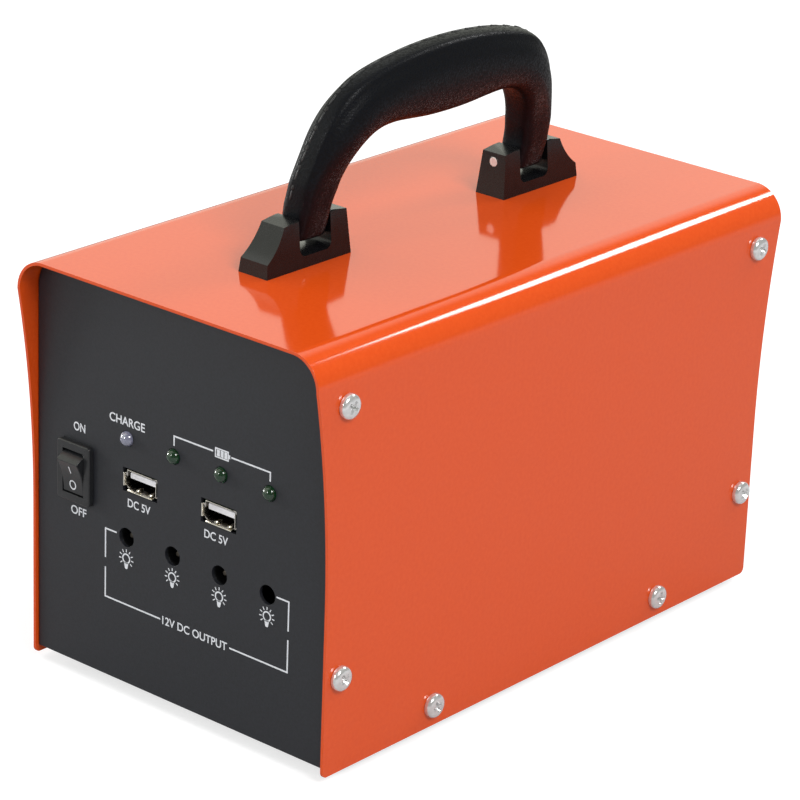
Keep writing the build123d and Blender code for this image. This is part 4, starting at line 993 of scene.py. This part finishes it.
def roundPoints(radius, count, tall=1.0, level=0.0):
    turns = [2 * pi * n / count for n in range(count)]
    return [(radius * cos(turn), level + tall * radius * sin(turn)) for turn in turns]


def inkText(name, text, weight):
    # Type in the built-in font, fitted to its span and levels.
    curve = bpy.data.curves.new(name, "FONT")
    curve.body = text["words"]
    curve.extrude = 0.1
    curve.offset = weight
    holder = bpy.data.objects.new(name, curve)
    scene.collection.objects.link(holder)
    graph = bpy.context.evaluated_depsgraph_get()
    mesh = bpy.data.meshes.new_from_object(holder.evaluated_get(graph))
    bpy.data.objects.remove(holder)
    corners = np.array([v.co for v in mesh.vertices])
    low, high = corners.min(0), corners.max(0)
    left, right = text["spanMm"]
    bottom, top = text["levelsMm"]
    for vertex in mesh.vertices:
        share = (np.array(vertex.co) - low) / (high - low)
        x = left + (right - left) * share[0]
        z = bottom + (top - bottom) * share[1]
        y = panelFace + inkSink - (inkSink + inkRise) * share[2]
        vertex.co = (x * mm, y, coverLow.z + z * mm)
    return newPiece(name, meshOf(mergedShape(mesh, 0.001), name), screenInk)


def buildPrint():
    # Levels are above the cover's lower edge.
    words = {
        "onMark": {"words": "ON", "spanMm": (-45.7, -40.6), "levelsMm": (82.4, 85.3)},
        "offMark": {"words": "OFF", "spanMm": (-46.8, -40.0), "levelsMm": (53.8, 56.7)},
        "chargeMark": {"words": "CHARGE", "spanMm": (-29.9, -14.6), "levelsMm": (90.2, 93.1)},
        "leftVoltMark": {"words": "DC 5V", "spanMm": (-21.7, -11.9), "levelsMm": (63.5, 66.3)},
        "rightVoltMark": {"words": "DC 5V", "spanMm": (11.2, 21.1), "levelsMm": (63.5, 66.3)},
        "outputMark": {"words": "12V DC OUTPUT", "spanMm": (-6.2, 21.5), "levelsMm": (28.5, 31.3)},
    }
    lines = {"typeWeight": 0.012, "lineMm": 0.54}
    battery = {
        "boxMm": (15.3, 20.6, 91.4, 94.2), "lineMm": 0.45, "bars": 3, "barMm": 1.2,
        "barPitchMm": 1.55, "sideGapMm": 0.6, "endGapMm": 0.35, "capMm": (0.2, 0.8),
        "capShortMm": 0.8,
    }
    for name, text in words.items():
        place(inkText(name, text, lines["typeWeight"]), "case", "white_plastic")
    base = coverLow.z / mm
    routes = [
        [(-2.1, 89.7), (-2.1, 92.85), (14.3, 92.85)],
        [(21.9, 92.85), (37.85, 92.85), (37.85, 89.9)],
        [(-26.5, 53.2), (-31.4, 53.2), (-31.4, 43.3)],
        [(-31.4, 40.05), (-31.4, 29.9), (-7.1, 29.9)], [(22.5, 29.9), (46.6, 29.9), (46.6, 40.7)],
        [(46.6, 43.6), (46.6, 53.3), (41.6, 53.3)],
    ]
    outlines = []
    for route in routes:
        outlines += strokeOutlines([(x, base + z) for x, z in route], lines["lineMm"])

    # The battery sign: an outline, its bars and its end cap.
    left, right, low, high = battery["boxMm"]
    low, high = base + low, base + high
    outlines += strokeOutlines(boxCorners(left, right, low, high), battery["lineMm"], True)
    gap, short = battery["endGapMm"], battery["capShortMm"]
    for n in range(battery["bars"]):
        bar = left + battery["sideGapMm"] + n * battery["barPitchMm"]
        outlines.append(boxCorners(bar, bar + battery["barMm"], low + gap, high - gap))
    start, end = battery["capMm"]
    outlines.append(boxCorners(right + start, right + end, low + short, high - short))
    piece = newPiece("panelLines", flatInk("panelLines", outlines), screenInk)
    place(piece, "case", "white_plastic")


def buildLampSigns():
    # A bulb with nine rays under each lamp outlet.
    lamp = {
        "ringMm": 1.5, "ringSteps": 24, "lineMm": 0.48,
        "neck": [(-0.95, -1.35), (-0.62, -3.1), (-0.35, -3.5)], "rays": 9,
        "raySweepDeg": (-38, 218), "rayMm": (2.15, 3.15), "rayLineMm": 0.34, "levelMm": 45.65,
    }
    outlines = strokeOutlines(roundPoints(lamp["ringMm"], lamp["ringSteps"]), lamp["lineMm"], True)
    outlines.append(lamp["neck"] + [(-x, z) for x, z in lamp["neck"][::-1]])
    for angle in np.radians(np.linspace(*lamp["raySweepDeg"], lamp["rays"])):
        ends = [Vector((cos(angle), sin(angle))) * reach for reach in lamp["rayMm"]]
        outlines += strokeOutlines(ends, lamp["rayLineMm"])
    icon = flatInk("lampIcon", outlines)
    icon.transform(Matrix.Translation((0, -panelFace, 0)))
    jacks = [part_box(f"dc_jack_{n}") for n in range(1, 5)]
    level = coverLow.z + lamp["levelMm"] * mm
    points = [((low.x + high.x) / 2, panelFace, level) for low, high in jacks]
    piece = setOut("lampIcons", icon, points, [(0, 0, 1)] * 4, screenInk)
    place(piece, "case", "white_plastic")


buildPrint()
buildLampSigns()
print("marks made")


softened("switch_housing", "switchBezel", satinAbs, "switch_plastic", edgeMm=0.25)
paddle = softened(
    "rocker", "rockerPaddle", satinAbs, "switch_plastic", edgeMm=0.35, body="rocker", angle=28,
    segments=3,
)


def buildRockerMarks():
    # An upright bar and a ring, laid on the paddle's face.
    mark = {
        "tiltDeg": 14.9, "barMm": (1.2, 3.9), "barSteps": 6, "ringAtMm": -3.1, "ringMm": 1.25,
        "ringTall": 1.15, "ringSteps": 32, "lineMm": 0.42, "risesMm": (-0.02, 0.03),
    }
    tilt = radians(mark["tiltDeg"])
    pivot = Vector(hinges["rocker_switch"]["pos_m"])
    upward = Vector((0, -sin(tilt), cos(tilt)))
    outward = Vector((0, -cos(tilt), -sin(tilt)))
    surface = BVHTree.FromObject(paddle, bpy.context.evaluated_depsgraph_get())
    bar = [(0, up) for up in np.linspace(*mark["barMm"], mark["barSteps"] + 1)]
    ring = roundPoints(mark["ringMm"], mark["ringSteps"], mark["ringTall"], mark["ringAtMm"])
    outlines = strokeOutlines(bar, mark["lineMm"]) + strokeOutlines(ring, mark["lineMm"], True)
    shape = bmesh.new()
    for outline in outlines:
        spots = []
        for x, up in outline:
            start = pivot + (Vector((x, 0, 0)) + upward * up + outward * 20) * mm
            spots.append(surface.ray_cast(start, -outward)[0])
        layers = ([spot + outward * rise * mm for spot in spots] for rise in mark["risesMm"])
        joinOutlines(shape, *layers)
    mesh = meshOf(shape, "rockerMarks")
    place(newPiece("rockerMarks", mesh, screenInk), "rocker", "white_plastic")


buildRockerMarks()
print("switch made")


def buildLenses():
    lens = {
        "radiusMm": 2.5, "flangeMm": 2.9, "flangeThickMm": 1.0, "barrelMm": 5.1, "domeStepDeg": 10
    }
    radius, flange, thick = lens["radiusMm"], lens["flangeMm"], lens["flangeThickMm"]
    barrel = lens["barrelMm"] + thick
    profile = [(0, 0), (flange, 0), (flange, thick), (radius, thick)]
    for turn in range(0, 90, lens["domeStepDeg"]):
        profile.append((radius * cos(radians(turn)), barrel + radius * sin(radians(turn))))
    profile.append((0, barrel + radius))
    for node, slot, finish in (
        ("charge_led", "led_clear", milkyEpoxy), ("battery_led_1", "led_green", greenEpoxy),
        ("battery_led_2", "led_green", greenEpoxy), ("battery_led_3", "led_green", greenEpoxy),
    ):
        low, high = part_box(node)
        mesh = lathe(node + "Lens", profile)
        seat = Vector(((low.x + high.x) / 2, high.y, (low.z + high.z) / 2))
        mesh.transform(Matrix.Translation(seat) @ Matrix.Rotation(pi / 2, 4, "X"))
        smoothShade(mesh, 40)
        place(newPiece(node + "Lens", mesh, finish), "case", slot, node)


buildLenses()


def buildSockets():
    for side in ("left", "right"):
        softened("usb_shell_" + side, side + "UsbShell", shellMetal, "nickel", edgeMm=0.08)
        tongue = side + "UsbTongue"
        softened("usb_tongue_" + side, tongue, whiteTongue, "white_plastic", edgeMm=0.12)
    for n in range(1, 5):
        softened(f"dc_jack_{n}", f"jackBody{n}", deepPlastic, "socket_plastic", edgeMm=0.2)
    softened("charge_inlet", "chargeInlet", deepPlastic, "socket_plastic", edgeMm=0.3)
    # The two pressed springs that show on the floor of each shell.
    springs = {
        "shares": (0.42, 0.80), "backMm": 1.5, "upMm": 1.25,
        "profile": [(0, -0.3), (0.45, -0.25), (0.5, 0), (0.42, 0.3), (0.2, 0.45), (0, 0.5)],
        "stretch": (1.5, 3.4, 1.0, 1.0),
    }
    points, facings = [], []
    for side in ("left", "right"):
        low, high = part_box("usb_shell_" + side)
        for share in springs["shares"]:
            x = low.x + (high.x - low.x) * share
            points.append((x, low.y + springs["backMm"] * mm, low.z + springs["upMm"] * mm))
            facings.append((0, 0, 1))
    leaf = lathe("springLeaf", springs["profile"], 20)
    leaf.transform(Matrix.Diagonal(springs["stretch"]))
    piece = setOut("usbSprings", leaf, points, facings, socketNickel)
    place(piece, "case", "nickel")


buildSockets()
print("sockets made")


# Finishes of the CAD nodes that show as they are.
nodeFinish = {
    bareAluminium: ("heatsink", "board_studs", "capacitors"),
    platedSteel: ("cover_nuts", "base_nuts", "bracket_screws", "board_screws", "led_leads"),
    zincSheet: ("load_plates", "battery_strap"), footRubber: ("foam_pad",),
    contactBrass: (
        "bracket_inserts", "rocker_plunger", "usb_contacts", "battery_terminals", "spade_connectors"
    ),
    boreShadedPin: ("socket_pins",), socketNickel: ("switch_terminals",),
    deepPlastic: ("inlet_nut", "fuse_holder", "power_transistor"), circuitBoard: ("control_board",),
    ferriteCore: ("inductor",), fuseGlass: ("fuse",), greenNylon: ("terminal_block",),
    batteryAbs: ("battery_case", "battery_lid"), leadPlate: ("battery_cells",),
    redPvc: ("battery_lead_red",), blackPvc: ("battery_lead_black", "charge_lead", "switch_leads"),
}
for finish, names in nodeFinish.items():
    for name in names:
        node = frame["nodes"][name]
        node.data.materials.clear()
        node.data.materials.append(finish)
print("finishes given")


def buildFloor():
    floor = {"reachM": 6.0, "colour": "B4B4B4", "ownLight": 0.67}
    reach = floor["reachM"]
    corners = [(-reach, -reach, 0), (reach, -reach, 0), (reach, reach, 0), (-reach, reach, 0)]
    material = bpy.data.materials.new("paleFloor")
    material.use_nodes = True
    tree = material.node_tree
    tree.nodes.clear()
    paint = addNode(tree, "ShaderNodeBsdfDiffuse", {"Color": hexColour(floor["colour"])})
    ray = addNode(tree, "ShaderNodeLightPath").outputs["Is Camera Ray"]
    share = addNode(
        tree, "ShaderNodeMath", {"operation": "MULTIPLY", 1: floor["ownLight"]}, {0: ray}
    )
    glow = addNode(tree, "ShaderNodeEmission", {"Color": hexColour("FFFFFF")}, {"Strength": share})
    mixed = addNode(tree, "ShaderNodeAddShader", None, {0: paint, 1: glow})
    addNode(tree, "ShaderNodeOutputMaterial", None, {"Surface": mixed})
    piece = newPiece("studioFloor", meshFrom("studioFloor", corners, [(0, 1, 2, 3)]), material)


def buildLight():
    lamps = {
        "overheadSoftbox": {
            "at": (-0.35, 0.1, 1.5), "to": (0, 0, 0.1), "size": (1.4, 1.4), "watts": 3.2
        },
        "frontFill": {
            "at": (-0.15, -1.6, 0.8), "to": (0, 0, 0.08), "size": (0.22, 0.18), "watts": 5
        },
        "rightFill": {
            "at": (1.4, -0.45, 1.35), "to": (0, 0, 0.08), "size": (0.8, 0.6), "watts": 21
        },
        "leftGlint": {
            "at": (-1.25, -0.4, 0.25), "to": (0, 0, 0.1), "size": (0.25, 0.25), "watts": 6
        },
        "rearTube": {
            "at": (0.3, 0.993, 0.929), "to": (-0.04, 0.093, 0.094), "size": (0.36, 0.2),
            "watts": 4.0, "tilt": -23,
        },
    }
    for name, lamp in lamps.items():
        light = bpy.data.lights.new(name, "AREA")
        light.shape = "RECTANGLE"
        light.size, light.size_y = lamp["size"]
        light.energy = lamp["watts"]
        holder = bpy.data.objects.new(name, light)
        aim = (Vector(lamp["to"]) - Vector(lamp["at"])).to_track_quat("-Z", "Y")
        tilt = Matrix.Rotation(radians(lamp.get("tilt", 0)), 4, "Z")
        holder.matrix_world = Matrix.Translation(lamp["at"]) @ aim.to_matrix().to_4x4() @ tilt
        scene.collection.objects.link(holder)
    world = bpy.data.worlds.new("studioAir")
    world.use_nodes = True
    scene.world = world
    tree = world.node_tree
    tree.nodes.clear()
    # Plain air for soft light; polished surfaces see it bright to the left and dim to the right.
    air = {
        "softLight": 0.62, "brightSide": 1.18, "dimSide": 0.22, "brightFromX": -0.36,
        "dimFromX": -0.04, "warmSide": "FCFFF0",
    }
    ray = addNode(tree, "ShaderNodeLightPath").outputs
    heading = addNode(tree, "ShaderNodeTexCoord").outputs["Generated"]
    sideways = addNode(tree, "ShaderNodeSeparateXYZ", None, {0: heading}).outputs["X"]
    mirrored = addNode(
        tree, "ShaderNodeMapRange",
        {
            "interpolation_type": "SMOOTHSTEP", "From Min": air["brightFromX"],
            "From Max": air["dimFromX"], "To Min": air["brightSide"], "To Max": air["dimSide"],
        },
        {"Value": sideways},
    )
    glossy = addNode(
        tree, "ShaderNodeMix", {2: air["softLight"]}, {0: ray["Is Glossy Ray"], 3: mirrored}
    )
    plain = addNode(
        tree, "ShaderNodeMath", {"operation": "MAXIMUM"},
        {0: ray["Is Camera Ray"], 1: ray["Is Transmission Ray"]},
    )
    strength = addNode(tree, "ShaderNodeMix", {3: 1.0}, {0: plain, 2: glossy})
    tone = addNode(
        tree, "ShaderNodeMix",
        {"data_type": "RGBA", 6: hexColour("FFFFFF"), 7: hexColour(air["warmSide"])},
        {0: ray["Is Glossy Ray"]},
    )
    sky = addNode(
        tree, "ShaderNodeBackground", None, {"Color": tone.outputs[2], "Strength": strength}
    )
    addNode(tree, "ShaderNodeOutputWorld", None, {"Surface": sky})
    scene.view_settings.view_transform = "Standard"


def buildCamera():
    seat = {
        "atM": (0.70135, -0.83415, 0.50749), "aimDeg": (40.195, 21.496), "rollDeg": 2.165,
        "lensMm": 161.24, "sensorMm": 36, "clipM": (0.05, 30),
    }
    around, up = (radians(angle) for angle in seat["aimDeg"])
    roll = radians(seat["rollDeg"])
    back = Vector((sin(around) * cos(up), -cos(around) * cos(up), sin(up)))
    level = Vector((cos(around), sin(around), 0))
    above = back.cross(level)
    right = level * cos(roll) + above * sin(roll)
    upward = above * cos(roll) - level * sin(roll)
    camera = bpy.data.cameras.new("studioCamera")
    camera.lens = seat["lensMm"]
    camera.sensor_width = seat["sensorMm"]
    camera.clip_start, camera.clip_end = seat["clipM"]
    holder = bpy.data.objects.new("studioCamera", camera)
    turn = Matrix((right, upward, back)).transposed()
    holder.matrix_world = Matrix.Translation(seat["atM"]) @ turn.to_4x4()
    scene.collection.objects.link(holder)
    scene.camera = holder


buildFloor()
buildLight()
buildCamera()
print("studio made")
